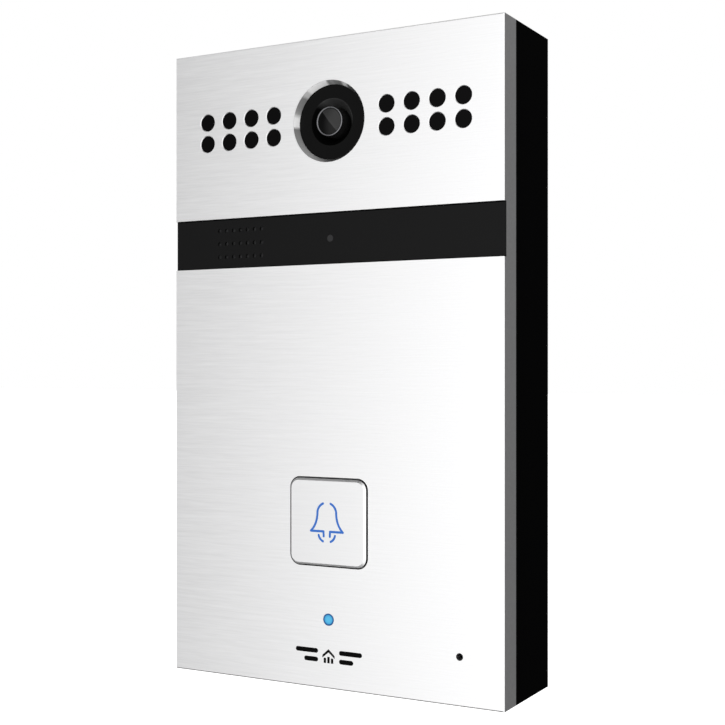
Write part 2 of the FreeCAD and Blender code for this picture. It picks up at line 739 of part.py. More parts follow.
def rear_housing():
    """The black moulded back: walls, a floor, posts, the wall recess and the hooks' bars."""
    body = doc.addObject("PartDesign::Body", "housing_shell")
    pad(body, "housing_block", "0", "housing_depth", rectangle("panel_width", "panel_height", "0", "0"))
    inside = rectangle("(panel_width - 2 * housing_wall)", "(panel_height - 2 * housing_wall)", "0", "0")
    pocket(body, "housing_inside", FLOOR, f"housing_depth - {FLOOR}", inside)
    recess = rounded(RECESS_WIDTH, RECESS_HEIGHT, "recess_radius", "0", "0")
    pocket(body, "housing_recess", "0", "recess_depth", recess)
    posts = [circle("post_radius", x, z) for x, z in corner_places(POST_X, POST_Z)]
    pad(body, "housing_posts", FLOOR, f"housing_depth - {FLOOR}", *posts)
    standoffs = [circle("standoff_radius", x, z) for x, z in board_screw_places()]
    pad(body, "housing_standoffs", FLOOR, "standoff", *standoffs)
    standoffs = [circle("standoff_radius", x, z) for x, z in camera_screw_places()]
    pad(body, "housing_camera_standoffs", FLOOR, "standoff", *standoffs)
    guide = circle("tamper_guide_radius", "tamper_x", "tamper_z")
    pad(body, "housing_tamper_guide", BAR_BACK, f"recess_depth - {BAR_BACK}", guide)
    bay = rounded("bay_width", "bay_height", "bay_radius", "0", "bay_centre")
    pocket(body, "housing_bay", "recess_depth - through", "housing_floor + 2 * through", bay)
    bores = [circle("screw_radius + slide_gap", x, z) for x, z in corner_places(POST_X, POST_Z)]
    pocket(body, "housing_screw_bores", SEAT, f"housing_depth - {SEAT}", *bores)
    sinks = [circle("screw_head_radius + slide_gap", x, z) for x, z in corner_places(POST_X, POST_Z)]
    pocket(body, "housing_screw_sinks", "0", SEAT, *sinks)
    threads = [circle("screw_radius + fit_gap", x, z) for x, z in board_screw_places()]
    thread_start = f"{BOARD_BACK} - board_screw_length"
    pocket(body, "housing_board_threads", thread_start, "board_screw_length", *threads)
    threads = [circle("small_screw_radius + fit_gap", x, z) for x, z in camera_screw_places()]
    pocket(body, "housing_camera_threads", thread_start, "board_screw_length", *threads)
    bore = circle("tamper_collar_radius + slide_gap", "tamper_x", "tamper_z")
    bore_start = f"({BAR_BACK} + tamper_end_wall)"
    pocket(body, "housing_tamper_bore", bore_start, f"{FLOOR} - {bore_start}", bore)
    mouth = circle("tamper_radius + slide_gap", "tamper_x", "tamper_z")
    pocket(body, "housing_tamper_mouth", BAR_BACK, "tamper_end_wall", mouth)
    groove_edge = "(housing_wall - gasket_width)"
    outer = rectangle(f"(panel_width - {groove_edge})", f"(panel_height - {groove_edge})", "0", "0")
    inner = rectangle(f"(panel_width - {groove_edge} - 2 * gasket_width)",
                      f"(panel_height - {groove_edge} - 2 * gasket_width)", "0", "0")
    pocket(body, "housing_groove", "housing_depth - gasket_height", "gasket_height", outer, inner)
    tools = []
    for side in (-1, 1):
        x = f"{side} * lock_x"
        sink = "lock_head_sink + through"
        tools.append(upright(f"lock_sink_{side + 2}", "screw_head_radius + fit_gap", sink,
                             x, f"-{TOP} - through", "lock_depth"))
        tools.append(upright(f"lock_bore_{side + 2}", "screw_radius + fit_gap", "recess_rim + through",
                             x, f"-{TOP}", "lock_depth"))
    return less("rear_housing", joined("housing_with_bars", body, *hook_bars()), *tools)


def hook_bars():
    """The two bars that the bracket's hooks carry, each with a post at either end."""
    bars = []
    z = "hook_z + fit_gap + bar_height / 2"
    post_at = "(hook_width / 2 + slide_gap + bar_post / 2)"
    bar_width = "(hook_width + 2 * slide_gap + 2 * bar_post)"
    bar_thick = f"({LIP_BACK} - slide_gap - {BAR_BACK})"
    for side in (-1, 1):
        x = f"{side} * hook_x"
        bars.append(block(f"bar_{side + 2}", bar_width, "bar_height", bar_thick, x, z, BAR_BACK))
        for end in (-1, 1):
            post_x = f"{x} + {end} * {post_at}"
            reach = f"recess_depth - {BAR_BACK}"
            name = f"bar_post_{side + 2}_{end + 2}"
            bars.append(block(name, "bar_post", "bar_height", reach, post_x, z, BAR_BACK))
    return bars


def main_gasket():
    """The silicone cord between the housing's rim and the panel's skirt."""
    edge = "(housing_wall - gasket_width + 2 * fit_gap)"
    back = "(housing_wall + gasket_width - 2 * fit_gap)"
    outer = rectangle(f"(panel_width - {edge})", f"(panel_height - {edge})", "0", "0")
    inner = rectangle(f"(panel_width - {back})", f"(panel_height - {back})", "0", "0")
    return plate("main_gasket", "gasket_height", "housing_depth - gasket_height", outer, inner)


def casing_screws():
    """The four long screws that pull the front panel onto the housing."""
    places = corner_places(POST_X, POST_Z)
    made = screws("casing_screw", CASING_SCREW, "casing_screw_length", places, SEAT, True)
    return group("casing_screws", *made)


# ---------------------------------------------------------------- camera


def camera_trim_ring():
    """The polished ring round the camera, with a tapered mouth."""
    body = rod("trim_body", "trim_radius - fit_gap", f"{FRONT} - {TRIM_BACK}", "0", CAMERA_Z, TRIM_BACK)
    flange = rod("trim_flange_disc", "trim_radius + trim_flange_overlap", "trim_flange", "0", CAMERA_Z,
                 TRIM_BACK)
    mouth = taper("trim_mouth_cone", TRIM_BORE, TRIM_MOUTH, "trim_taper", "0", CAMERA_Z, HOOD_FRONT)
    bore = rod("trim_bore_rod", TRIM_BORE, f"{FRONT} - {TRIM_BACK}", "0", CAMERA_Z,
               f"{TRIM_BACK} - trim_taper")
    return less("camera_trim_ring", joined("trim_blank", body, flange), mouth, bore)


def lens_hood():
    """The black cup round the lens: a disc with a funnel, a flange and a tube."""
    disc_length = f"{HOOD_FRONT} - {HOOD_BACK}"
    disc = rod("hood_disc", f"{TRIM_BORE} - fit_gap", disc_length, "0", CAMERA_Z, HOOD_BACK)
    flange = rod("hood_flange_disc", "trim_radius + hood_flange_overlap", "hood_flange", "0", CAMERA_Z,
                 HOOD_BACK)
    tube = rod("hood_tube_rod", "hood_tube_radius", "hood_tube", "0", CAMERA_Z, f"{HOOD_BACK} - hood_tube")
    funnel_back = f"{HOOD_FRONT} - hood_funnel"
    funnel = taper("hood_funnel_cone", "hood_throat", "hood_mouth", "hood_funnel", "0", CAMERA_Z, funnel_back)
    bore_length = f"{HOOD_FRONT} - {HOOD_BACK} + hood_tube"
    bore = rod("hood_bore", "hood_throat", bore_length, "0", CAMERA_Z, f"{HOOD_BACK} - hood_tube - through")
    return less("lens_hood", joined("hood_blank", disc, flange, tube), funnel, bore)


def lens_barrel():
    """The threaded barrel: a narrow nose, a wide body and seats for the glass at both ends."""
    nose_top = f"({NOSE_FRONT} - rim_height)"
    nose = rod("barrel_nose", "nose_radius", f"{nose_top} - {NOSE_BACK}", "0", CAMERA_Z, NOSE_BACK)
    wide = rod("barrel_body", "barrel_radius", f"{NOSE_BACK} - {HOLDER_SEAT}", "0", CAMERA_Z, HOLDER_SEAT)
    bore = rod("barrel_bore_rod", "barrel_bore", f"{nose_top} - {HOLDER_SEAT} + 2 * through", "0", CAMERA_Z,
               f"{HOLDER_SEAT} - through")
    front_seat = rod("barrel_front_seat", "rim_bore + fit_gap", "rim_height + through", "0", CAMERA_Z,
                     f"{nose_top} - rim_height")
    rear_seat = rod("barrel_rear_seat", "rear_lens_radius + fit_gap", "rear_lens_height + through", "0",
                    CAMERA_Z, f"{HOLDER_SEAT} - through")
    return less("lens_barrel", joined("barrel_blank", nose, wide), bore, front_seat, rear_seat)


def lens_rim():
    """The bright ring that holds the front glass in the barrel."""
    start = f"{NOSE_FRONT} - rim_height"
    return ring("lens_rim", "nose_radius", "rim_bore", "rim_height", "0", CAMERA_Z, start)


def front_lens():
    """The domed front glass: a disc under the crown of a sphere."""
    seat = f"({NOSE_FRONT} - 2 * rim_height)"
    disc_top = f"({NOSE_FRONT} - rim_height / 2)"
    radius = "(rim_bore - fit_gap)"
    disc = rod("front_lens_disc", radius, f"{disc_top} - {seat}", "0", CAMERA_Z, seat)
    ball_radius = f"(({radius} * {radius} + front_lens_rise * front_lens_rise) / (2 * front_lens_rise))"
    ball = doc.addObject("Part::Sphere", "front_lens_ball")
    bind(ball, "Radius", ball_radius)
    place(ball, "0", f"{disc_top} + front_lens_rise - {ball_radius}", CAMERA_Z)
    limit = rod("front_lens_limit", radius, "2 * front_lens_rise", "0", CAMERA_Z, disc_top)
    crown = doc.addObject("Part::Common", "front_lens_crown")
    crown.Base = ball
    crown.Tool = limit
    return joined("front_lens", disc, crown)


def rear_lens():
    """The flat glass at the barrel's back."""
    return rod("rear_lens", "rear_lens_radius", "rear_lens_height", "0", CAMERA_Z, HOLDER_SEAT)


def lens_holder():
    """The holder on the camera board: a hollow base for the filter slide and a threaded tube."""
    body = doc.addObject("PartDesign::Body", "lens_holder")
    base = rectangle("holder_width", "holder_height", "0", CAMERA_Z)
    base_depth = "bay_slot_depth + holder_wall"
    pad(body, "holder_base", CAMERA_BOARD_FRONT, base_depth, base)
    tube = circle("barrel_radius + holder_tube_wall", "0", CAMERA_Z)
    pad(body, "holder_tube_pad", HOLDER_SEAT, HOLDER_TUBE, tube)
    slot = rectangle("bay_slot_width", "bay_slot_height", "0", CAMERA_Z)
    pocket(body, "holder_slot", CAMERA_BOARD_FRONT, "bay_slot_depth", slot)
    pocket(body, "holder_aperture", SLOT_TOP, "holder_wall", circle("rear_lens_radius", "0", CAMERA_Z))
    thread = circle("barrel_radius + fit_gap", "0", CAMERA_Z)
    pocket(body, "holder_thread", HOLDER_SEAT, HOLDER_TUBE, thread)
    return body


def filter_retainer():
    """The thin plate under the filter slide, with an opening over the image sensor."""
    outline = rectangle("(bay_slot_width - 2 * fit_gap)", "(bay_slot_height - 2 * fit_gap)", "0", CAMERA_Z)
    opening = rectangle("filter_window", "filter_window", "0", CAMERA_Z)
    depth = f"{CAMERA_BOARD_FRONT} + retainer_rise"
    return plate("filter_retainer", "retainer_height", depth, outline, opening)


def filter_frame():
    """The slide that carries the day filter and the clear night glass across the lens."""
    outline = rectangle("filter_frame_width", "filter_frame_height", FILTER_X, CAMERA_Z)
    day = rectangle("filter_window", "filter_window", "0", CAMERA_Z)
    night = rectangle("filter_window", "filter_window", "filter_travel", CAMERA_Z)
    return plate("filter_frame", "filter_frame_depth", FILTER_BACK, outline, day, night)


def filter_glass(name, x):
    """One square of glass in the slide."""
    side = "(filter_window - 2 * fit_gap)"
    depth = f"{FILTER_BACK} + (filter_frame_depth - filter_glass_depth) / 2"
    return block(name, side, side, "filter_glass_depth", x, CAMERA_Z, depth)


def filter_coil():
    """The small coil beside the holder that drives the filter slide, with its core."""
    x = "holder_width / 2 + fit_gap + coil_width / 2"
    winding = block("coil_winding", "coil_width", "coil_height", "coil_depth", x, CAMERA_Z,
                    CAMERA_BOARD_FRONT)
    core = block("coil_core", "coil_width / 2", "coil_height + 2 * slide_gap", "coil_depth / 2", x, CAMERA_Z,
                 CAMERA_BOARD_FRONT)
    return joined("filter_coil", winding, core)


def image_sensor():
    """The image sensor under the lens."""
    return block("image_sensor", "sensor_side", "sensor_side", "sensor_height", "0", CAMERA_Z,
                 CAMERA_BOARD_FRONT)


def camera_board():
    """The camera's circuit board."""
    outline = rectangle("camera_board_width", "camera_board_height", "0", CAMERA_Z)
    holes = [circle("small_screw_radius + slide_gap", x, z) for x, z in camera_screw_places()]
    return plate("camera_board", "camera_board_depth", BOARD_BACK, outline, *holes)


# ---------------------------------------------------------------- infra-red lamps


def lamp_window(name, side):
    """The dark window behind one set of eight holes, with a plug in each hole."""
    body = doc.addObject("PartDesign::Body", name)
    middle = f"{side} * {LAMP_MIDDLE}"
    outline = rounded(LAMP_PLATE_WIDTH, LAMP_PLATE_HEIGHT, "lamp_plate_radius", middle, CAMERA_Z)
    pad(body, f"{name}_sheet", LAMP_PLATE_BACK, "lamp_plate", outline)
    plugs = [circle("lamp_hole_radius - fit_gap", x, z) for x, z in lamp_places(side)]
    pad(body, f"{name}_plugs", INNER, "panel_face - lamp_setback", *plugs)
    holes = [circle("lamp_boss_radius + fit_gap", x, z) for x, z in lamp_boss_places(side)]
    pocket(body, f"{name}_holes", LAMP_PLATE_BACK, "lamp_plate", *holes)
    return body


def lamp_board(name, side):
    """The board that carries eight lamps."""
    outline = rectangle(LAMP_PLATE_WIDTH, LAMP_PLATE_HEIGHT, f"{side} * {LAMP_MIDDLE}", CAMERA_Z)
    holes = [circle("small_screw_radius + slide_gap", x, z) for x, z in lamp_boss_places(side)]
    return plate(name, "lamp_board", LAMP_BOARD_BACK, outline, *holes)


def lamps(name, side):
    """Eight round-topped lamps, each with a flange at its foot."""
    made = []
    for number, (x, z) in enumerate(lamp_places(side), start=1):
        neck = "(lamp_length - lamp_radius)"
        foot = rod(f"{name}_foot_{number}", "lamp_flange_radius", "lamp_flange", x, z, LAMP_BOARD_FRONT)
        stalk = rod(f"{name}_stalk_{number}", "lamp_radius", neck, x, z, LAMP_BOARD_FRONT)
        dome = doc.addObject("Part::Sphere", f"{name}_dome_{number}")
        bind(dome, "Radius", "lamp_radius")
        place(dome, x, f"{LAMP_BOARD_FRONT} + {neck}", z)
        made.append(joined(f"{name}_{number}", foot, stalk, dome))
    return group(name, *made)


# ---------------------------------------------------------------- strip, speaker and light sensor


def front_strip():
    """The black strip across the front, drilled for the speaker and the light sensor."""
    outline = rectangle("panel_width", "(channel_height - 2 * strip_gap)", "0", STRIP_Z)
    sensor = circle("sensor_hole_radius", "0", STRIP_Z)
    return plate("front_strip", "strip_depth", CHANNEL_FLOOR, outline, sensor, *sound_holes())


def speaker_mesh():
    """The fine cloth behind the speaker's holes."""
    width = "(sound_window_width - 2 * fit_gap)"
    height = "(sound_window_height - 2 * fit_gap)"
    outline = rounded(width, height, "sound_window_radius", SOUND_X, STRIP_Z)
    return plate("speaker_mesh", "mesh_depth", f"{CHANNEL_FLOOR} - mesh_depth", outline)


def speaker_gasket():
    """The foam ring between the speaker and the panel."""
    return ring("speaker_gasket", "speaker_radius", "speaker_radius - 2 * speaker_wall", "speaker_pad",
                SOUND_X, STRIP_Z, SPEAKER_FRONT)


def speaker_frame():
    """The speaker's basket: a round cup with a hole for the voice coil."""
    cup = rod("speaker_cup", "speaker_radius", "speaker_depth", SOUND_X, STRIP_Z, SPEAKER_BACK)
    inside = rod("speaker_inside", "speaker_radius - speaker_wall", "speaker_depth", SOUND_X, STRIP_Z,
                 f"{SPEAKER_BACK} + speaker_wall")
    throat = rod("speaker_throat", "magnet_radius / 2", "speaker_depth", SOUND_X, STRIP_Z,
                 f"{SPEAKER_BACK} - through")
    return less("speaker_frame", cup, inside, throat)


def speaker_cone():
    """The speaker's thin cone and dust cap."""
    outer = "(speaker_radius - speaker_wall - fit_gap)"
    inner = "(magnet_radius / 2)"
    start = f"({SPEAKER_FRONT} - cone_thick - cone_depth)"
    solid = taper("cone_outside", inner, outer, "cone_depth", SOUND_X, STRIP_Z, start)
    hollow = taper("cone_inside", inner, outer, "cone_depth", SOUND_X, STRIP_Z, f"{start} + cone_thick")
    cap = rod("cone_cap", inner, "2 * cone_thick", SOUND_X, STRIP_Z, start)
    return joined("speaker_cone", less("cone_shell", solid, hollow), cap)


def speaker_magnet():
    """The magnet behind the basket."""
    return rod("speaker_magnet", "magnet_radius", "magnet_height", SOUND_X, STRIP_Z,
               f"{SPEAKER_BACK} - magnet_height")


def light_sensor_pipe():
    """The clear pipe from the strip's small hole to the light sensor."""
    tip = rod("sensor_tip", "sensor_hole_radius - fit_gap", "strip_depth", "0", STRIP_Z, CHANNEL_FLOOR)
    start = f"({BOARD_FRONT} + sensor_chip_height + slide_gap)"
    pipe = rod("sensor_pipe", "sensor_pipe_radius", f"{CHANNEL_FLOOR} - {start}", "0", STRIP_Z, start)
    return joined("light_sensor_pipe", tip, pipe)


def light_sensor():
    """The light sensor on the main board."""
    return block("light_sensor", "sensor_chip", "sensor_chip", "sensor_chip_height", "0", STRIP_Z,
                 BOARD_FRONT)


# ---------------------------------------------------------------- call button



def bell_paths():
    """The left half of the bell, about its centre: the outline and the clapper."""
    crown = [(-1.25, 5.42), (-2.50, 4.45), (-3.10, 3.00)]
    waist = [(-3.10, 3.00), (-3.22, 1.45), (-3.60, -0.05)]
    flare = [(-3.60, -0.05), (-4.28, -1.40), (-5.30, -2.60)]
    base = [(-5.30, -2.60), (-1.08, -2.60)]
    stem = [(-1.08, -2.60), (-1.02, -4.00)]
    clapper = [(-2.70, -3.72), (-2.20, -4.75), (-1.28, -5.45)]
    return [[crown, waist, flare, base, stem], [clapper]]


def bell_shape(radius, start, length):
    """The bell's strokes as thin walls, from a depth towards the front."""
    scale = value("icon_scale")
    centre_z = value(BUTTON_Z)
    depth = value(start)
    walls = []
    for side in (1, -1):
        for path in bell_paths():
            edges = []
            for stretch in path:
                points = [FreeCAD.Vector(side * x * scale, -depth, centre_z + z * scale) for x, z in stretch]
                curve = Part.Arc(*points) if len(points) == 3 else Part.LineSegment(*points)
                edges.append(curve.toShape())
            outline = Part.Wire(edges).makeOffset2D(radius, 0, True, False, False)
            walls.append(outline.extrude(FreeCAD.Vector(0, -value(length), 0)))
    return Part.Compound(walls)


def bell_feature(name, radius, start, length):
    """The bell's strokes as an object of the document."""
    feature = doc.addObject("Part::Feature", name)
    feature.Shape = bell_shape(value(radius), start, length)
    feature.Placement = FreeCAD.Placement()
    return feature


def call_button_cap():
    """The square brushed cap, chamfered, hollow behind and cut through for the bell."""
    body = doc.addObject("PartDesign::Body", "cap_body")
    outline = rounded(BUTTON_SIDE, BUTTON_SIDE, "button_opening_radius - button_gap", "0", BUTTON_Z)
    pad(body, "cap_block", BUTTON_BACK, "button_depth", outline)
    chamfer(body, "cap_edge", "button_chamfer", lambda edge: lies_at(edge, BUTTON_FRONT))
    hollow_side = f"({BUTTON_SIDE} - 2 * button_wall)"
    hollow = rectangle(hollow_side, hollow_side, "0", BUTTON_Z)
    pocket(body, "cap_hollow", BUTTON_BACK, "button_depth - button_face", hollow)
    bell_start = f"{CAP_FACE_BACK} - through"
    bell = bell_feature("cap_bell", "icon_stroke / 2", bell_start, "button_face + 2 * through")
    return less("call_button_cap", body, bell)


def bell_light_guide():
    """The clear guide behind the cap: a plate, the lit bell in the face and two legs."""
    side = f"({BUTTON_SIDE} - 2 * button_wall - 2 * fit_gap)"
    sheet_start = f"({CAP_FACE_BACK} - guide_plate)"
    sheet_piece = block("guide_sheet", side, side, "guide_plate", "0", BUTTON_Z, sheet_start)
    bell = bell_feature("guide_bell", "icon_stroke / 2 - icon_gap", CAP_FACE_BACK, "button_face")
    leg_start = f"({BOARD_FRONT} + lamp_chip_height + guide_leg_rise)"
    legs = []
    for side_sign in (-1, 1):
        x = f"{side_sign} * guide_leg_x"
        length = f"{sheet_start} - {leg_start}"
        legs.append(rod(f"guide_leg_{side_sign + 2}", "guide_leg_radius", length, x, BUTTON_Z, leg_start))
    return joined("bell_light_guide", sheet_piece, bell, *legs)


def button_carrier():
    """The carrier behind the cap: a step, a wide flange that stops it, and a centre post."""
    body = doc.addObject("PartDesign::Body", "button_carrier")
    flange = rectangle(CARRIER_FLANGE, CARRIER_FLANGE, "0", BUTTON_Z)
    pad(body, "carrier_flange_pad", FLANGE_BACK, "carrier_thick", flange)
    step = rounded(BUTTON_SIDE, BUTTON_SIDE, "button_opening_radius - button_gap", "0", BUTTON_Z)
    pad(body, "carrier_step_pad", FLANGE_FRONT, "carrier_step", step)
    post_start = f"({STEM_FRONT} + fit_gap)"
    post = circle("carrier_post_radius", "0", BUTTON_Z)
    pad(body, "carrier_post", post_start, f"{FLANGE_BACK} - {post_start}", post)
    windows = [circle("guide_leg_radius + fit_gap", f"{side} * guide_leg_x", BUTTON_Z) for side in (-1, 1)]
    pocket(body, "carrier_windows", FLANGE_BACK, "carrier_thick + carrier_step", *windows)
    return body


def button_seal():
    """The silicone frame between the carrier's flange and the panel."""
    outer = rectangle(CARRIER_FLANGE, CARRIER_FLANGE, "0", BUTTON_Z)
    inner = rectangle("(button_opening + 2 * slide_gap)", "(button_opening + 2 * slide_gap)", "0", BUTTON_Z)
    return plate("button_seal", f"{INNER} - {FLANGE_FRONT}", FLANGE_FRONT, outer, inner)


def button_retainer():
    """The frame screwed behind the call button, which stops its flange."""
    outer = rounded(RETAINER_SIDE, RETAINER_SIDE, "retainer_boss_radius", "0", BUTTON_Z)
    inner = rectangle(RETAINER_OPENING, RETAINER_OPENING, "0", BUTTON_Z)
    holes = [circle("small_screw_radius + slide_gap", x, z) for x, z in retainer_screw_places()]
    return plate("button_retainer", "retainer_thick", RETAINER_BACK, outer, inner, *holes)


def small_screws():
    """The same small screw, for the button's frame, the lamp boards and the camera board."""
    length = "small_screw_length"
    lamp_places_both = lamp_boss_places(-1) + lamp_boss_places(1)
    made = screws("retainer_screw", SMALL_SCREW, length, retainer_screw_places(), RETAINER_BACK, True)
    made += screws("lamp_screw", SMALL_SCREW, length, lamp_places_both, LAMP_BOARD_BACK, True)
    made += screws("camera_screw", SMALL_SCREW, length, camera_screw_places(), CAMERA_BOARD_FRONT, False)
    return group("small_screws", *made)


def tact_switch_body():
    """The push switch on the main board, with a well for its stem."""
    case = block("tact_case", "switch_side", "switch_side", "switch_height", "0", BUTTON_Z, BOARD_FRONT)
    well_depth = "stem_sunk + button_travel + slide_gap"
    well = rod("tact_well", "stem_radius + fit_gap", f"{well_depth} + through", "0", BUTTON_Z,
               f"{SWITCH_FRONT} - ({well_depth})")
    return less("tact_switch_body", case, well)


def tact_switch_stem():
    """The switch's stem."""
    return rod("tact_switch_stem", "stem_radius", "stem_length", "0", BUTTON_Z, STEM_BACK)


def button_lamps():
    """The two lamps that light the bell."""
    made = []
    for side in (-1, 1):
        x = f"{side} * guide_leg_x"
        made.append(block(f"button_lamp_{side + 2}", "lamp_chip_width", "lamp_chip_width", "lamp_chip_height",
                          x, BUTTON_Z, BOARD_FRONT))
    return group("button_lamps", *made)


# ---------------------------------------------------------------- status light and microphone


def status_light_pipe():
    """The clear pipe of the status light, flush with the face."""
    flange_start = f"({INNER} - status_flange)"
    start = f"({BOARD_FRONT} + lamp_chip_height + slide_gap)"
    head = rod("status_head", "status_radius - fit_gap", "panel_face", "0", STATUS_Z, INNER)
    flange = rod("status_flange_disc", "status_flange_radius", "status_flange", "0", STATUS_Z, flange_start)
    pipe = rod("status_pipe", "status_pipe_radius", f"{flange_start} - {start}", "0", STATUS_Z, start)
    return joined("status_light_pipe", head, flange, pipe)


def status_lamp():
    """The lamp under the status light's pipe."""
    return block("status_lamp", "lamp_chip_width", "lamp_chip_width", "lamp_chip_height", "0", STATUS_Z,
                 BOARD_FRONT)


def microphone():
    """The microphone capsule."""
    start = f"({INNER} - mic_boot_depth)"
    return rod("microphone", "mic_radius", "mic_height", MIC_X, MIC_Z, start)


def microphone_boot():
    """The rubber boot that holds the microphone against the panel."""
    start = f"({INNER} - mic_boot_depth)"
    boot = rod("boot_body", "mic_boot_radius", "mic_boot_depth", MIC_X, MIC_Z, start)
    seat = rod("boot_seat", "mic_radius + fit_gap", "mic_height + through", MIC_X, MIC_Z,
               f"{start} - through")
    channel = rod("boot_channel", "mic_hole_radius", "mic_boot_depth + 2 * through", MIC_X, MIC_Z,
                  f"{start} - through")
    return less("microphone_boot", boot, seat, channel)


# ---------------------------------------------------------------- main board


def main_board():
    """The main circuit board."""
    outline = rectangle(BOARD_WIDTH, BOARD_HEIGHT, "0", BOARD_MIDDLE)
    holes = [circle("screw_radius + slide_gap", x, z) for x, z in board_screw_places()]
    return plate("main_board", "board_depth", BOARD_BACK, outline, *holes)


def board_screws():
    """The four screws of the main board."""
    made = screws("board_screw", CASING_SCREW, "board_screw_length + board_depth", board_screw_places(),
                  BOARD_FRONT, False)
    return group("board_screws", *made)


def processor_shield():
    """The tin can over the processor, open to the board."""
    can = block("shield_can", "shield_width", "shield_height", "shield_depth", "port_x", "shield_z",
                BOARD_FRONT)
    inside = block("shield_inside", "(shield_width - 2 * shield_wall)", "(shield_height - 2 * shield_wall)",
                   "shield_depth - shield_wall + through", "port_x", "shield_z", f"{BOARD_FRONT} - through")
    return less("processor_shield", can, inside)


def door_relay():
    """The relay that works the door lock."""
    return block("door_relay", "relay_width", "relay_height", "relay_depth", "relay_x", "relay_z",
                 BOARD_FRONT)


def capacitors():
    """Three round capacitors in a row."""
    made = []
    for number in range(3):
        x = f"can_x + {number} * can_pitch"
        made.append(rod(f"capacitor_{number + 1}", "can_radius", "can_depth", x, "can_z", BOARD_FRONT))
    return group("capacitors", *made)


def ribbon_connectors():
    """The two sockets of the camera's ribbon."""
    low = f"{BOARD_TOP} - connector_height"
    high = f"{CAMERA_Z} - camera_board_height / 2 + connector_height / 2 + fit_gap"
    camera_side = block("ribbon_connector_high", "connector_width", "connector_height", "connector_depth",
                        "0", high, CAMERA_BOARD_FRONT)
    main_side = block("ribbon_connector_low", "connector_width", "connector_height", "connector_depth",
                      "0", low, BOARD_FRONT)
    return group("ribbon_connectors", camera_side, main_side)


def camera_ribbon():
    """The flat ribbon from the camera board to the main board."""
    low = f"({BOARD_TOP} - connector_height / 2)"
    high = f"({CAMERA_Z} - camera_board_height / 2 + fit_gap)"
    return block("camera_ribbon", "ribbon_width", f"{high} - {low}", "ribbon_depth", "0",
                 f"({high} + {low}) / 2", f"{BOARD_FRONT} + connector_depth / 4")


def ethernet_port():
    """The network socket on the board's back, with its mouth down."""
    middle = "port_mouth + port_height / 2"
    start = f"({BOARD_BACK} - port_depth)"
    case = block("port_case", "port_width", "port_height", "port_depth", "port_x", middle, start)
    hole_z = "port_mouth + port_hole_length / 2 - through"
    hole = block("port_hole", "port_hole_width", "port_hole_length + 2 * through", "port_hole_depth",
                 "port_x", hole_z, f"{start} + (port_depth - port_hole_depth) / 2")
    return less("ethernet_port", case, hole)


TERMINAL_WAYS = 8


def terminal_block():
    """The screw terminals on the board's back: eight ways, wires from below."""
    start = f"({BOARD_BACK} - terminal_depth)"
    middle = "terminal_mouth + terminal_height / 2"
    case = block("terminal_case", "terminal_width", "terminal_height", "terminal_depth", "terminal_x", middle,
                 start)
    entry_length = "terminal_height / 2 + through"
    tools = []
    for way in range(TERMINAL_WAYS):
        x = f"terminal_x + ({way} - {TERMINAL_WAYS - 1} / 2) * terminal_pitch"
        entry = upright(f"terminal_entry_{way + 1}", "terminal_hole_radius", entry_length, x,
                        "terminal_mouth - through", f"{start} + terminal_depth / 2")
        well = rod(f"terminal_well_{way + 1}", "terminal_screw_radius", "terminal_well + through", x,
                   middle, f"{start} - through")
        tools.append(entry)
        tools.append(well)
    return less("terminal_block", case, *tools)


# ---------------------------------------------------------------- wall side


def wall_bracket():
    """The steel wall plate: screw holes, a cable window, two hooks and a flange for the locks."""
    body = doc.addObject("PartDesign::Body", "bracket_plate")
    outline = rounded(BRACKET_WIDTH, BRACKET_HEIGHT, "recess_radius - bracket_gap", "0", "0")
    pad(body, "bracket_sheet", "0", "bracket_thick", outline)
    openings = [circle("wall_hole_radius", x, z) for x, z in corner_places("wall_hole_x", "wall_hole_z")]
    openings.append(rounded("window_width", "window_height", "bay_radius", "0", "bay_centre"))
    openings.append(circle("tamper_radius + tamper_hole_gap", "tamper_x", "tamper_z"))
    slot_z = "(hook_z - bracket_thick - hook_slot / 2)"
    for side in (-1, 1):
        openings.append(rectangle("hook_width", "hook_slot", f"{side} * hook_x", slot_z))
    pocket(body, "bracket_openings", "0", "bracket_thick", *openings)
    pieces = [body]
    for side in (-1, 1):
        x = f"{side} * hook_x"
        leg_z = "hook_z - bracket_thick / 2"
        leg = block(f"hook_leg_{side + 2}", "hook_width", "bracket_thick", HOOK_REACH, x, leg_z, "0")
        lip_z = "hook_z - bracket_thick / 2 + hook_lip / 2"
        lip_height = "hook_lip + bracket_thick"
        lip = block(f"hook_lip_{side + 2}", "hook_width", lip_height, "bracket_thick", x, lip_z, LIP_BACK)
        pieces += [leg, lip]
    flange_z = f"{BRACKET_BOTTOM} + bracket_thick / 2"
    pieces.append(block("lock_flange", "lock_flange_width", "bracket_thick", LOCK_REACH, "0", flange_z, "0"))
    tools = []
    for side in (-1, 1):
        tools.append(upright(f"lock_thread_{side + 2}", "screw_radius + fit_gap",
                             "bracket_thick + 2 * through", f"{side} * lock_x",
                             f"{BRACKET_BOTTOM} - through", "lock_depth"))
    return less("wall_bracket", joined("bracket_blank", *pieces), *tools)


def lock_screws():
    """The two screws that lock the housing to the bracket from below."""
    made = []
    for side in (-1, 1):
        x = f"{side} * lock_x"
        seat = f"(lock_head_sink - {TOP})"
        head = upright(f"lock_head_{side + 2}", "screw_head_radius", "screw_head_height", x,
                       f"{seat} - screw_head_height", "lock_depth")
        shank = upright(f"lock_shank_{side + 2}", "screw_radius", "lock_screw_length", x, seat, "lock_depth")
        socket = doc.addObject("Part::Prism", f"lock_socket_{side + 2}")
        bind(socket, "Circumradius", "screw_head_radius * socket_share")
        bind(socket, "Height", "screw_head_height")
        place(socket, x, "lock_depth", f"{seat} - 1.5 * screw_head_height")
        made.append(less(f"lock_screw_{side + 2}", joined(f"lock_blank_{side + 2}", head, shank), socket))
    return group("lock_screws", *made)


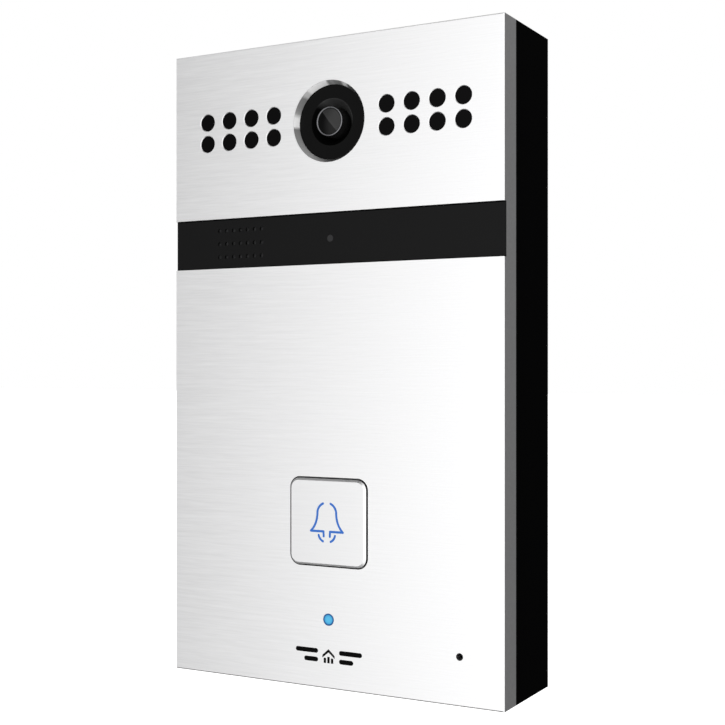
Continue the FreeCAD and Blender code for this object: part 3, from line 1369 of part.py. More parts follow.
def tamper_plunger():
    """The pin that the wall holds pressed, with the collar that keeps it in its guide."""
    end = f"({TAMPER_SWITCH_BACK} - slide_gap)"
    pin = rod("tamper_pin", "tamper_radius", end, "tamper_x", "tamper_z", "0")
    collar = rod("tamper_collar_disc", "tamper_collar_radius", "tamper_collar", "tamper_x", "tamper_z",
                 COLLAR_BACK)
    return joined("tamper_plunger", pin, collar)


def tamper_spring():
    """The spring that pushes the pin out, as the plain sleeve that its pressed coil fills."""
    start = f"({COLLAR_BACK} + tamper_collar)"
    return ring("tamper_spring", "tamper_collar_radius", "tamper_radius + slide_gap",
                f"{TAMPER_SWITCH_BACK} - {start}", "tamper_x", "tamper_z", start)


def tamper_switch():
    """The switch that the pin presses, on the board's back."""
    return block("tamper_switch", "tamper_switch_side", "tamper_switch_side", "tamper_switch_height",
                 "tamper_x", "tamper_z", TAMPER_SWITCH_BACK)


# ---------------------------------------------------------------- the whole unit


def build():
    """Make every sub-part, in the order that a bench would lay them out."""
    return [
        front_panel(),
        rear_housing(),
        main_gasket(),
        casing_screws(),
        camera_trim_ring(),
        lens_hood(),
        lens_barrel(),
        lens_rim(),
        front_lens(),
        rear_lens(),
        lens_holder(),
        filter_retainer(),
        filter_frame(),
        filter_glass("day_filter", "0"),
        filter_glass("night_filter", "filter_travel"),
        filter_coil(),
        image_sensor(),
        camera_board(),
        lamp_window("lamp_window_left", -1),
        lamp_window("lamp_window_right", 1),
        lamp_board("lamp_board_left", -1),
        lamp_board("lamp_board_right", 1),
        lamps("lamps_left", -1),
        lamps("lamps_right", 1),
        front_strip(),
        speaker_mesh(),
        speaker_gasket(),
        speaker_frame(),
        speaker_cone(),
        speaker_magnet(),
        light_sensor_pipe(),
        light_sensor(),
        call_button_cap(),
        bell_light_guide(),
        button_carrier(),
        button_seal(),
        button_retainer(),
        small_screws(),
        tact_switch_body(),
        tact_switch_stem(),
        button_lamps(),
        status_light_pipe(),
        status_lamp(),
        microphone(),
        microphone_boot(),
        main_board(),
        board_screws(),
        processor_shield(),
        door_relay(),
        capacitors(),
        ribbon_connectors(),
        camera_ribbon(),
        ethernet_port(),
        terminal_block(),
        wall_bracket(),
        lock_screws(),
        tamper_plunger(),
        tamper_spring(),
        tamper_switch(),
    ]


def check(nodes):
    """Stop if anything in the document failed or a sub-part is not a sound solid."""
    for item in doc.Objects:
        if "Invalid" in item.State or "Error" in item.State:
            raise ValueError(f"{item.Label} failed: {item.State}")
    for node in nodes:
        if node.Shape.isNull() or not node.Shape.isValid() or not node.Shape.Solids:
            raise ValueError(f"{node.Label} has no sound shape")


nodes = build()
doc.recompute()
check(nodes)
os.makedirs("parts", exist_ok=True)
for node in nodes:
    node.Shape.exportStep(f"parts/{node.Label}.step")
print(f"{len(nodes)} sub-parts written")
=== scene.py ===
"""Looks of the door intercom panel: finishes, fine parts, studio light and camera.

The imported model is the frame: every place below comes from its boxes, in metres, with the wall
at y = 0 and the front facing -Y. Each sub-assembly is a class that builds its own fine parts and
gives its parts their finishes.
"""

import logging
import math
from dataclasses import dataclass
from enum import Enum
from typing import Callable, Optional, Sequence

import bmesh
import bpy
from mathutils import Matrix, Vector


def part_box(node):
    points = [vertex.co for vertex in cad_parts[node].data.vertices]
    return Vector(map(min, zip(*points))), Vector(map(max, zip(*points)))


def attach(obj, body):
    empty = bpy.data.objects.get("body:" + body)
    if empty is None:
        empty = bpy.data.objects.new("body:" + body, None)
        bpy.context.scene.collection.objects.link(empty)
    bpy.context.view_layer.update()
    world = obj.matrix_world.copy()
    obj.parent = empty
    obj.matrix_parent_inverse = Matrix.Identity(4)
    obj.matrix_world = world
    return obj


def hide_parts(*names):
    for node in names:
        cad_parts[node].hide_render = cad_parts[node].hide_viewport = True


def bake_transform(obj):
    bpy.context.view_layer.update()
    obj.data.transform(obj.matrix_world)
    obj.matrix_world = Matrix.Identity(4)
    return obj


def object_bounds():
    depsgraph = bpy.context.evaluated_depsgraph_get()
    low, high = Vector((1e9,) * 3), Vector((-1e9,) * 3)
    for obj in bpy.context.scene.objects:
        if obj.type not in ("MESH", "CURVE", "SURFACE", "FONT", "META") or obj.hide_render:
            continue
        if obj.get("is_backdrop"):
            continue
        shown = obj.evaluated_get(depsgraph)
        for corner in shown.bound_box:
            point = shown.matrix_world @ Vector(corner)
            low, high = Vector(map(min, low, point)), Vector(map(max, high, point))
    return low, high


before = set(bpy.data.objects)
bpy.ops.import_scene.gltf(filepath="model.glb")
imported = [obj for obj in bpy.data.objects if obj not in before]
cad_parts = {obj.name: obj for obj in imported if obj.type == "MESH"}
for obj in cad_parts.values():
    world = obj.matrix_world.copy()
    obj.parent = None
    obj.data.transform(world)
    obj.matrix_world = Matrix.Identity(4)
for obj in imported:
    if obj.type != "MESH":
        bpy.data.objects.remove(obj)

LOG = logging.getLogger("door_intercom")
MM = 0.001  # one millimetre, in metres
Point = tuple[float, float, float]
Colour = tuple[float, float, float]
Span = tuple[float, float]
Profile = Sequence[Span]
Outline = list[Span]
Mesh = bmesh.types.BMesh
Socket = bpy.types.NodeSocket
Draw = Callable[[Mesh], None]

ORIGIN = (0.0, 0.0, 0.0)
QUARTER_TURN = (math.pi / 2, 0.0, 0.0)
PATTERN_LOW, PATTERN_HIGH = 0.3, 0.7  # the part of a pattern's range that a finish is spread over
MERGE_DISTANCE = 1e-7
ON_AXIS = 1e-9
WHITE = (1.0, 1.0, 1.0, 1.0)


# ------------------------------------------------------------------ finishes


class Pattern(Enum):
    """The small-scale pattern that a finish is built on."""

    STREAKS = "long brushed streaks"
    GRAIN = "fine moulded or cast grain"
    SPANGLE = "zinc crystals"
    WEAVE = "two crossed sets of threads"
    TURNS = "wound wire"
    STRIPES = "printed conductors side by side"


def cube(side: float) -> Point:
    """Give the sides of a cube, for a pattern that repeats alike along every axis."""
    return (side, side, side)


class NodeTree:
    """A node tree with one short call that adds a node, sets it and links what feeds it."""

    def __init__(self, tree: bpy.types.NodeTree) -> None:
        """Hold a tree, emptied of its nodes."""
        self.tree = tree
        self.tree.nodes.clear()

    def put(self, value: object, socket: Socket) -> None:
        """Link a socket to its source, or set its plain value.

        Args:
            value: the source's socket or the plain value.
            socket: the input that takes it.
        """
        if isinstance(value, Socket):
            self.tree.links.new(value, socket)
        else:
            socket.default_value = value

    def feed(self, node: bpy.types.Node, **inputs: object) -> None:
        """Link or set a node's inputs, with an underscore for a space in each name."""
        for key, value in inputs.items():
            self.put(value, node.inputs[key.replace("_", " ")])

    def add(self, kind: str, settings: Optional[dict[str, object]] = None,
            **inputs: object) -> bpy.types.Node:
        """Add a node.

        Args:
            kind: the node's type name.
            settings: the node's own properties.
            inputs: what feeds each input, with an underscore for a space in its name.

        Returns:
            The new node.
        """
        node = self.tree.nodes.new(kind)
        for key, setting in (settings or {}).items():
            setattr(node, key, setting)
        self.feed(node, **inputs)
        return node


class Shader(NodeTree):
    """One material's node tree, with short calls for its patterns."""

    def __init__(self, name: str) -> None:
        """Start a material with one Principled shader on its output.

        Args:
            name: the material's name.
        """
        self.material = bpy.data.materials.new(name)
        self.material.use_nodes = True
        super().__init__(self.material.node_tree)
        self.surface = self.add("ShaderNodeBsdfPrincipled")
        self.add("ShaderNodeOutputMaterial", Surface=self.surface.outputs["BSDF"])

    def sets(self, **values: object) -> bpy.types.Material:
        """Link or set the sockets of the surface, and give the material."""
        self.feed(self.surface, **values)
        return self.material

    def place(self, scale: Point, origin: Point = ORIGIN) -> Socket:
        """Read the piece's own coordinates, moved and scaled.

        Args:
            scale: repeats per metre along each axis.
            origin: the point, in metres, that becomes the pattern's centre.

        Returns:
            The vector socket.
        """
        where = self.add("ShaderNodeTexCoord")
        shift = tuple(-o * s for o, s in zip(origin, scale))
        return self.add("ShaderNodeMapping", Vector=where.outputs["Object"], Scale=scale,
                        Location=shift).outputs["Vector"]

    def split(self, place: Socket) -> tuple[Socket, Socket]:
        """Split a vector into its x and its z."""
        parts = self.add("ShaderNodeSeparateXYZ", Vector=place)
        return parts.outputs["X"], parts.outputs["Z"]

    def length(self, place: Socket) -> Socket:
        """Measure a vector."""
        return self.add("ShaderNodeVectorMath", {"operation": "LENGTH"},
                        Vector=place).outputs["Value"]

    def cells(self, scale: Point, **settings: object) -> bpy.types.Node:
        """Add a pattern of cells with a scale of repeats per metre along each axis."""
        return self.add("ShaderNodeTexVoronoi", settings, Scale=1.0, Vector=self.place(scale))

    def noise(self, scale: Point, detail: float) -> Socket:
        """Add a noise of repeats per metre along each axis and a number of finer layers."""
        return self.add("ShaderNodeTexNoise", Scale=1.0, Detail=detail,
                        Vector=self.place(scale)).outputs["Fac"]

    def ripple(self, rate: float, share: float, level: Socket | float) -> Socket:
        """Add a share of an even noise, with a rate of repeats per metre, to a level."""
        return self.maths("MULTIPLY_ADD", self.noise(cube(rate), 1.0), share, level)

    def maths(self, operation: str, *terms: object) -> Socket:
        """Add a Math node.

        Args:
            operation: the node's operation.
            terms: sockets or plain numbers, in order.

        Returns:
            The value socket.
        """
        node = self.add("ShaderNodeMath", {"operation": operation})
        for socket, term in zip(node.inputs, terms):
            self.put(term, socket)
        return node.outputs["Value"]

    def ramp(self, factor: Socket, stops: Sequence[tuple[float, Colour]]) -> Socket:
        """Turn a factor into a colour.

        Args:
            factor: the value socket.
            stops: positions from 0 to 1, each with a linear colour.

        Returns:
            The colour socket.
        """
        ramp = self.add("ShaderNodeValToRGB", Fac=factor)
        while len(ramp.color_ramp.elements) < len(stops):
            ramp.color_ramp.elements.new(0.5)
        for element, (position, colour) in zip(ramp.color_ramp.elements, stops):
            element.position = position
            element.color = (*colour, 1.0)
        return ramp.outputs["Color"]

    def grey_ramp(self, factor: Socket, tones: Sequence[Span]) -> Socket:
        """Turn a factor into a grey, from positions from 0 to 1 that each have a tone."""
        return self.ramp(factor, [(position, (tone, tone, tone)) for position, tone in tones])

    def spread(self, factor: Socket, low: float, high: float) -> Socket:
        """Spread the middle of a factor from a low to a high value."""
        return self.add("ShaderNodeMapRange", Value=factor, From_Min=PATTERN_LOW,
                        From_Max=PATTERN_HIGH, To_Min=low, To_Max=high).outputs["Result"]

    def raise_by(self, height: Socket, depth: float) -> None:
        """Add relief to the surface, from a height from 0 to 1 and a depth in metres."""
        bump = self.add("ShaderNodeBump", Distance=depth, Height=height)
        self.sets(Normal=bump.outputs["Normal"])

    def pattern(self, kind: Pattern, cell: Point) -> Socket:
        """Add the pattern of a finish.

        Args:
            kind: which pattern.
            cell: the size of one repeat along each axis, in metres.

        Returns:
            The factor socket.
        """
        scale = tuple(1.0 / size for size in cell)
        if kind is Pattern.STREAKS:
            broad = self.noise(tuple(rate / 4.0 for rate in scale), 1.0)
            mixed = self.maths("MULTIPLY_ADD", broad, 0.4, 0.0)
            return self.maths("MULTIPLY_ADD", self.noise(scale, 3.0), 0.6, mixed)
        if kind is Pattern.SPANGLE:
            colours = self.cells(scale).outputs["Color"]
            return self.add("ShaderNodeRGBToBW", Color=colours).outputs["Val"]
        if kind in (Pattern.WEAVE, Pattern.TURNS, Pattern.STRIPES):
            x, z = self.split(self.place(scale))
            first = self.maths("PINGPONG", x, 0.5)
            second = self.maths("PINGPONG", z, 0.5)
            if kind is Pattern.WEAVE:
                return self.maths("ADD", first, second)
            chosen = second if kind is Pattern.TURNS else first
            return self.maths("MULTIPLY", chosen, 2.0)
        return self.noise(scale, 3.0)


class SurfaceLook:
    """A finish that builds its material once and gives the same one back after that."""

    name: str

    def make(self) -> bpy.types.Material:
        """Give the material, built at the first call."""
        name = f"finish_{self.name}"
        return bpy.data.materials.get(name) or self.build(Shader(name))

    def build(self, shader: Shader) -> bpy.types.Material:
        """Build the material on an empty shader, in each finish's own way."""
        raise NotImplementedError


@dataclass(frozen=True)
class Finish(SurfaceLook):
    """A finish made of one small-scale pattern that sets colour, gloss and relief."""

    name: str
    low: Colour
    high: Colour
    rough: Span
    cell: Point
    pattern: Pattern = Pattern.GRAIN
    depth: float = 0.0
    metal: float = 0.0
    specular: float = 0.5
    clear: float = 0.0
    ior: float = 1.5

    def build(self, shader: Shader) -> bpy.types.Material:
        """Build the material.

        Args:
            shader: the empty shader to build it on.

        Returns:
            The material.
        """
        factor = shader.pattern(self.pattern, self.cell)
        colour = shader.ramp(factor, ((PATTERN_LOW, self.low), (PATTERN_HIGH, self.high)))
        if self.depth:
            shader.raise_by(factor, self.depth)
        return shader.sets(Base_Color=colour, Roughness=shader.spread(factor, *self.rough),
                           Metallic=self.metal, Specular_IOR_Level=self.specular,
                           Transmission_Weight=self.clear, IOR=self.ior)


@dataclass(frozen=True)
class CircuitBoardFinish(SurfaceLook):
    """Solder mask over copper tracks, with tinned holes between them."""

    name: str = "circuit_board"
    mask: Colour = (0.006, 0.065, 0.028)
    track: Colour = (0.012, 0.135, 0.055)
    tin: Colour = (0.55, 0.54, 0.5)
    cell: float = 6.0 * MM
    tracks_per_cell: float = 7.0
    gap_share: float = 0.55
    hole_pitch: float = 2.3 * MM
    hole_share: float = 0.13
    relief: float = 0.03 * MM

    def build(self, shader: Shader) -> bpy.types.Material:
        """Build the material.

        Args:
            shader: the empty shader to build it on.

        Returns:
            The material.
        """
        routes = shader.cells(cube(1.0 / self.cell), distance="CHEBYCHEV")
        steps = shader.maths("MULTIPLY", routes.outputs["Distance"], self.tracks_per_cell)
        track = shader.maths("GREATER_THAN", shader.maths("FRACT", steps), self.gap_share)
        holes = shader.cells(cube(1.0 / self.hole_pitch))
        ring = shader.maths("LESS_THAN", holes.outputs["Distance"], self.hole_share)
        level = shader.maths("MAXIMUM", shader.maths("MULTIPLY", track, 0.5), ring)
        shader.raise_by(level, self.relief)
        stops = ((0.0, self.mask), (0.5, self.track), (0.95, self.tin))
        return shader.sets(Base_Color=shader.ramp(level, stops),
                           Metallic=shader.maths("MULTIPLY", ring, 0.8),
                           Roughness=shader.spread(level, 0.34, 0.26))


@dataclass(frozen=True)
class GlowFinish(SurfaceLook):
    """A lit diffuser: bright in its middle and darker towards its rim."""

    name: str
    centre: Point
    radius: float
    core: Colour
    side: Colour
    rim: Colour

    def build(self, shader: Shader) -> bpy.types.Material:
        """Build the material.

        Args:
            shader: the empty shader to build it on.

        Returns:
            The material.
        """
        rate = 1.0 / self.radius
        share = shader.length(shader.place((rate, 0.0, rate), self.centre))
        share = shader.ripple(900.0, 0.08, share)
        stops = ((0.0, self.core), (0.45, self.core), (0.8, self.side), (1.0, self.rim))
        return shader.sets(Emission_Color=shader.ramp(share, stops), Emission_Strength=1.0,
                           Base_Color=(0.004, 0.01, 0.02, 1.0), Specular_IOR_Level=0.1,
                           Roughness=0.4)


@dataclass(frozen=True)
class RingPaintedReflectionFinish(SurfaceLook):
    """A polished ring with painted reflections: light and dark greys are painted round its axis in
    its colour, in place of the shine of its metal.
    """

    name: str
    centre: Point
    # painted reflection: each turn round the axis, from 0 to 1, with the grey painted there
    painted_reflection_arcs: tuple[Span, ...] = (
        (0.0, 0.97), (0.018, 0.97), (0.032, 0.22), (0.09, 0.3), (0.17, 0.42), (0.22, 0.34),
        (0.26, 0.14), (0.56, 0.03), (0.63, 0.05), (0.672, 0.2), (0.682, 0.9), (0.697, 0.9),
        (0.707, 0.26), (0.74, 0.26), (0.75, 0.36), (0.77, 0.24), (0.779, 1.0), (0.86, 1.0),
        (0.87, 0.6), (0.888, 0.56), (0.9, 0.22), (0.94, 0.24), (0.965, 0.34), (0.985, 0.97),
    )
    turn_back: float = 0.006
    rough: Span = (0.14, 0.2)

    def build(self, shader: Shader) -> bpy.types.Material:
        """Build the material.

        Args:
            shader: the empty shader to build it on.

        Returns:
            The material.
        """
        x, z = shader.split(shader.place(cube(1.0), self.centre))
        angle = shader.maths("ARCTAN2", z, x)
        turn = shader.maths("MULTIPLY_ADD", angle, 1.0 / math.tau, 0.5)
        turn = shader.ripple(700.0, 0.012, turn)
        tones = [(position - self.turn_back, tone) for position, tone in self.painted_reflection_arcs]
        # the painted reflection goes into the base colour, which is not metallic
        return shader.sets(Base_Color=shader.grey_ramp(turn, tones), Specular_IOR_Level=0.8,
                           Roughness=shader.spread(turn, *self.rough))


@dataclass(frozen=True)
class PaintedSideHighlightFinish(SurfaceLook):
    """A dark surface with a painted highlight: its colour is lighter towards one side of its axis,
    as if light fell from that side.
    """

    name: str
    centre: Point
    reach: float
    side: Span
    tones: tuple[Span, ...]
    rough: Span
    specular: float

    def build(self, shader: Shader) -> bpy.types.Material:
        """Build the material.

        Args:
            shader: the empty shader to build it on.

        Returns:
            The material.
        """
        rate = 1.0 / self.reach
        flat = shader.place((rate, 0.0, rate), self.centre)
        x, z = shader.split(flat)
        across = shader.maths("MULTIPLY", x, self.side[0])
        lit = shader.maths("MULTIPLY_ADD", z, self.side[1], across)
        lit = shader.maths("MULTIPLY", lit, shader.maths("LESS_THAN", shader.length(flat), 1.0))
        lit = shader.maths("MULTIPLY_ADD", lit, 0.5, 0.49)
        lit = shader.ripple(2500.0, 0.02, lit)
        # painted highlight: the grey rises towards the lit side
        return shader.sets(Base_Color=shader.grey_ramp(lit, self.tones),
                           Roughness=shader.spread(lit, *self.rough),
                           Specular_IOR_Level=self.specular)


def metal(name: str, colour: Colour, rough: Span, cell: Point, pattern: Pattern = Pattern.GRAIN,
          contrast: float = 0.9, depth: float = 0.0) -> Finish:
    """Describe a bare metal by its lighter colour; contrast is the darker one's share of it."""
    low = tuple(channel * contrast for channel in colour)
    return Finish(name, low, colour, rough, cell, pattern, depth, metal=1.0)


def plastic(name: str, colour: Colour, rough: Span, specular: float = 0.5,
            grain: float = 0.25 * MM, depth: float = 0.004 * MM) -> Finish:
    """Describe a moulded plastic or rubber by its lighter colour and the size of its grain."""
    low = tuple(channel * 0.8 for channel in colour)
    return Finish(name, low, colour, rough, cube(grain), depth=depth, specular=specular)


BRUSHED = metal("brushed_aluminium", (0.95, 0.95, 0.955), (0.28, 0.40),
                (7 * MM, 0.24 * MM, 0.24 * MM), Pattern.STREAKS, 0.89, 0.001 * MM)
BRUSHED_CAP = metal("brushed_cap", (0.91, 0.91, 0.915), (0.3, 0.38),
                    (9 * MM, 0.2 * MM, 0.2 * MM), Pattern.STREAKS, 0.93, 0.0004 * MM)
HOUSING = plastic("housing_black", (0.0009, 0.0009, 0.001), (0.6, 0.75), 0.015, 0.45 * MM,
                  0.012 * MM)
# painted shade: a matte near-black for dark fills put where the strip's channel and the button's
# gap are in shade
PAINTED_SHADE_BLACK = plastic("painted_shade_black", (0.0012, 0.0012, 0.0012), (0.7, 0.8), 0.02)
SILICONE = plastic("silicone", (0.02, 0.02, 0.021), (0.6, 0.75), 0.3)
SCREW_STEEL = metal("screw_steel", (0.62, 0.62, 0.63), (0.22, 0.38), cube(0.5 * MM),
                    contrast=0.85)
BARREL = plastic("barrel_black", (0.008, 0.008, 0.008), (0.45, 0.6), 0.2)
RIM = metal("rim_metal", (0.19, 0.19, 0.2), (0.22, 0.3), cube(0.6 * MM), contrast=0.85)
REAR_GLASS = Finish("rear_glass", (0.9, 0.92, 0.95), (0.95, 0.97, 1.0), (0.02, 0.03),
                    cube(3 * MM), clear=1.0)
DAY_FILTER = Finish("day_filter", (0.3, 0.55, 0.62), (0.36, 0.62, 0.7), (0.03, 0.06),
                    cube(2 * MM), clear=0.7)
CLEAR = Finish("clear_glass", (0.9, 0.93, 0.92), (0.95, 0.97, 0.96), (0.02, 0.05),
               cube(2 * MM), clear=0.9)
COPPER = metal("coil_copper", (0.72, 0.32, 0.14), (0.25, 0.4), cube(0.3 * MM), Pattern.TURNS,
               0.45, 0.05 * MM)
PACKAGE = plastic("chip_package", (0.014, 0.014, 0.015), (0.42, 0.6), 0.4, 0.15 * MM)
WINDOW = plastic("lamp_window", (0.0012, 0.001, 0.0012), (0.12, 0.2), 0.05, 1.0 * MM, 0.0)
LAMP_BODY = Finish("lamp_body", (0.55, 0.58, 0.66), (0.62, 0.65, 0.72), (0.05, 0.1),
                   cube(1.5 * MM), clear=0.6)
STRIP = plastic("strip_black", (0.0042, 0.0042, 0.0043), (0.34, 0.42), 0.12, 0.5 * MM,
                0.0006 * MM)
CLOTH = Finish("speaker_cloth", (0.01, 0.01, 0.01), (0.05, 0.05, 0.052), (0.8, 0.9),
               cube(0.22 * MM), Pattern.WEAVE, 0.05 * MM, specular=0.2)
FOAM = plastic("foam", (0.02, 0.02, 0.02), (0.85, 0.95), 0.15, 0.35 * MM, 0.08 * MM)
BASKET = plastic("basket_paint", (0.045, 0.045, 0.047), (0.35, 0.5), 0.5, 0.3 * MM)
CONE = plastic("cone_film", (0.07, 0.07, 0.075), (0.2, 0.35), 0.5, 0.8 * MM)
MAGNET = metal("magnet_nickel", (0.5, 0.5, 0.51), (0.15, 0.28), cube(0.8 * MM))
SENSOR = plastic("sensor_pipe", (0.014, 0.014, 0.015), (0.15, 0.25), 0.3, 0.5 * MM, 0.0)
ACETAL = plastic("acetal", (0.66, 0.66, 0.64), (0.35, 0.5), 0.45, 0.4 * MM)
ZINC = metal("zinc_sheet", (0.68, 0.69, 0.7), (0.3, 0.42), cube(2.4 * MM), Pattern.SPANGLE,
             0.88, 0.003 * MM)
SPRING = metal("spring_steel", (0.55, 0.55, 0.56), (0.2, 0.32), cube(0.4 * MM), contrast=0.85)
LAMP_CHIP = plastic("lamp_chip", (0.75, 0.73, 0.5), (0.35, 0.45), 0.5, 0.4 * MM)
CAPSULE = plastic("microphone_felt", (0.012, 0.012, 0.012), (0.8, 0.95), 0.1, 0.12 * MM,
                  0.03 * MM)
TIN = metal("tinned_steel", (0.7, 0.7, 0.69), (0.18, 0.3), cube(1.2 * MM), depth=0.004 * MM)
RELAY = plastic("relay_case", (0.02, 0.05, 0.16), (0.3, 0.42), 0.5, 0.4 * MM)
SLEEVE = plastic("capacitor_sleeve", (0.015, 0.02, 0.05), (0.25, 0.35), 0.5, 0.8 * MM)
CONNECTOR = plastic("connector_body", (0.6, 0.57, 0.48), (0.4, 0.5), 0.4, 0.3 * MM)
RIBBON = Finish("ribbon_film", (0.5, 0.22, 0.06), (0.7, 0.38, 0.12), (0.25, 0.35),
                cube(0.5 * MM), Pattern.STRIPES, 0.01 * MM)
TERMINAL = plastic("terminal_green", (0.03, 0.26, 0.09), (0.38, 0.5), 0.45, 0.3 * MM)
GOLD = metal("contact_gold", (0.83, 0.6, 0.25), (0.15, 0.26), cube(0.5 * MM))
SOLDER = metal("solder", (0.66, 0.66, 0.67), (0.16, 0.3), cube(0.4 * MM), contrast=0.88)
CERAMIC = plastic("ceramic_tan", (0.42, 0.3, 0.17), (0.4, 0.5), 0.4, 0.2 * MM)
FERRITE = plastic("ferrite_grey", (0.055, 0.055, 0.06), (0.5, 0.65), 0.3, 0.2 * MM, 0.01 * MM)
INSERT = plastic("socket_insert", (0.01, 0.01, 0.01), (0.4, 0.5), 0.4, 0.3 * MM)
INK = plastic("print_ink", (0.002, 0.002, 0.002), (0.5, 0.6), 0.04, 0.2 * MM, 0.0)
BOARD = CircuitBoardFinish()


# ------------------------------------------------------------------ meshes


def piece_from(name: str, mesh: Mesh, finish: Optional[SurfaceLook] = None,
               smooth: float = 35.0) -> bpy.types.Object:
    """Turn a bmesh into an object at the origin.

    Args:
        name: the piece's name.
        mesh: the shape, in place; it is freed.
        finish: the finish to dress it in.
        smooth: the largest angle, in degrees, that is shaded as one curve.

    Returns:
        The object.
    """
    bmesh.ops.remove_doubles(mesh, verts=mesh.verts, dist=MERGE_DISTANCE)
    bmesh.ops.recalc_face_normals(mesh, faces=mesh.faces)
    for face in mesh.faces:
        face.smooth = True
    for edge in mesh.edges:
        shared = len(edge.link_faces) == 2
        edge.smooth = shared and edge.calc_face_angle() < math.radians(smooth)
    data = bpy.data.meshes.new(name)
    mesh.to_mesh(data)
    mesh.free()
    piece = bpy.data.objects.new(name, data)
    bpy.context.scene.collection.objects.link(piece)
    if finish is not None:
        data.materials.append(finish.make())
    return piece


def turned(mesh: Mesh, profile: Profile, centre: Point, steps: int = 96,
           closed: bool = True) -> None:
    """Add a shape turned about an axis along Y.

    Args:
        mesh: the bmesh to add to.
        profile: radius and depth in front of the centre, in metres, in order along the outline.
        centre: the axis's point; its y is where depth is 0.
        steps: the number of faces round the axis.
        closed: whether the outline returns to its first point; otherwise it starts and ends on
            the axis.
    """
    rings = []
    for radius, depth in profile:
        if radius < ON_AXIS:
            rings.append([mesh.verts.new((centre[0], centre[1] - depth, centre[2]))])
            continue
        around = []
        for step in range(steps):
            angle = math.tau * step / steps
            around.append(mesh.verts.new((centre[0] + radius * math.cos(angle), centre[1] - depth,
                                          centre[2] + radius * math.sin(angle))))
        rings.append(around)
    pairs = list(zip(rings, rings[1:]))
    if closed:
        pairs.append((rings[-1], rings[0]))
    for first, second in pairs:
        for step in range(steps):
            following = (step + 1) % steps
            corners = [first[step % len(first)], first[following % len(first)],
                       second[following % len(second)], second[step % len(second)]]
            unique = list(dict.fromkeys(corners))
            if len(unique) > 2:
                mesh.faces.new(unique)


def slab(mesh: Mesh, centre: Point, size: Point, edge: float = 0.0) -> None:
    """Add a box with bevelled edges.

    Args:
        mesh: the bmesh to add to.
        centre: the box's middle.
        size: its three sides.
        edge: the width of the bevels.
    """
    place = Matrix.Translation(centre) @ Matrix.Diagonal((*size, 1.0))
    made = bmesh.ops.create_cube(mesh, size=1.0, matrix=place)
    if edge:
        edges = list(dict.fromkeys(link for corner in made["verts"] for link in corner.link_edges))
        bmesh.ops.bevel(mesh, geom=edges, offset=edge, segments=2, profile=0.6, affect="EDGES")


def cut_out(mesh: Mesh, outline: Outline, back: float, front: float) -> None:
    """Add a flat plate with any outline, facing the front.

    Args:
        mesh: the bmesh to add to.
        outline: x and z of its corners, in metres, in order.
        back: y of its back.
        front: y of its front.
    """
    behind = [mesh.verts.new((x, back, z)) for x, z in outline]
    ahead = [mesh.verts.new((x, front, z)) for x, z in outline]
    mesh.faces.new(behind)
    mesh.faces.new(ahead)
    for number, corner in enumerate(behind):
        following = (number + 1) % len(behind)
        mesh.faces.new([corner, behind[following], ahead[following], ahead[number]])


def plain_outline(left: float, right: float, bottom: float, top: float) -> Outline:
    """List the corners of a plain rectangle."""
    return [(left, bottom), (right, bottom), (right, top), (left, top)]


def rounded_outline(width: float, height: float, radius: float, centre: Span,
                    steps: int = 6) -> Outline:
    """List the corners of a rectangle with round ends.

    Args:
        width: its width.
        height: its height.
        radius: the radius of its corners.
        centre: x and z of its middle.
        steps: the number of sides of each round corner.

    Returns:
        The outline.
    """
    outline = []
    for turn, (across, up) in enumerate(((1, 1), (-1, 1), (-1, -1), (1, -1))):
        for step in range(steps + 1):
            angle = math.pi / 2 * (turn + step / steps)
            outline.append((centre[0] + across * (width / 2 - radius) + radius * math.cos(angle),
                            centre[1] + up * (height / 2 - radius) + radius * math.sin(angle)))
    return outline


def join_rings(mesh: Mesh, rings: list[list[bmesh.types.BMVert]]) -> None:
    """Close a wall through rings of corners, each joined to the next and the last to the first.

    Args:
        mesh: the bmesh that holds the corners.
        rings: the rings, with the same number of corners in each.
    """
    for ring, beside in zip(rings, rings[1:] + rings[:1]):
        for number, corner in enumerate(ring):
            following = (number + 1) % len(ring)
            mesh.faces.new([corner, ring[following], beside[following], beside[number]])


def sleeve(mesh: Mesh, outer: Outline, inner: Outline, back: float, front: float) -> None:
    """Add a thin wall between two outlines with the same number of corners, from back to front."""
    walls = ((outer, back), (outer, front), (inner, front), (inner, back))
    join_rings(mesh, [[mesh.verts.new((x, y, z)) for x, z in outline] for outline, y in walls])


# ------------------------------------------------------------------ geometry node trees


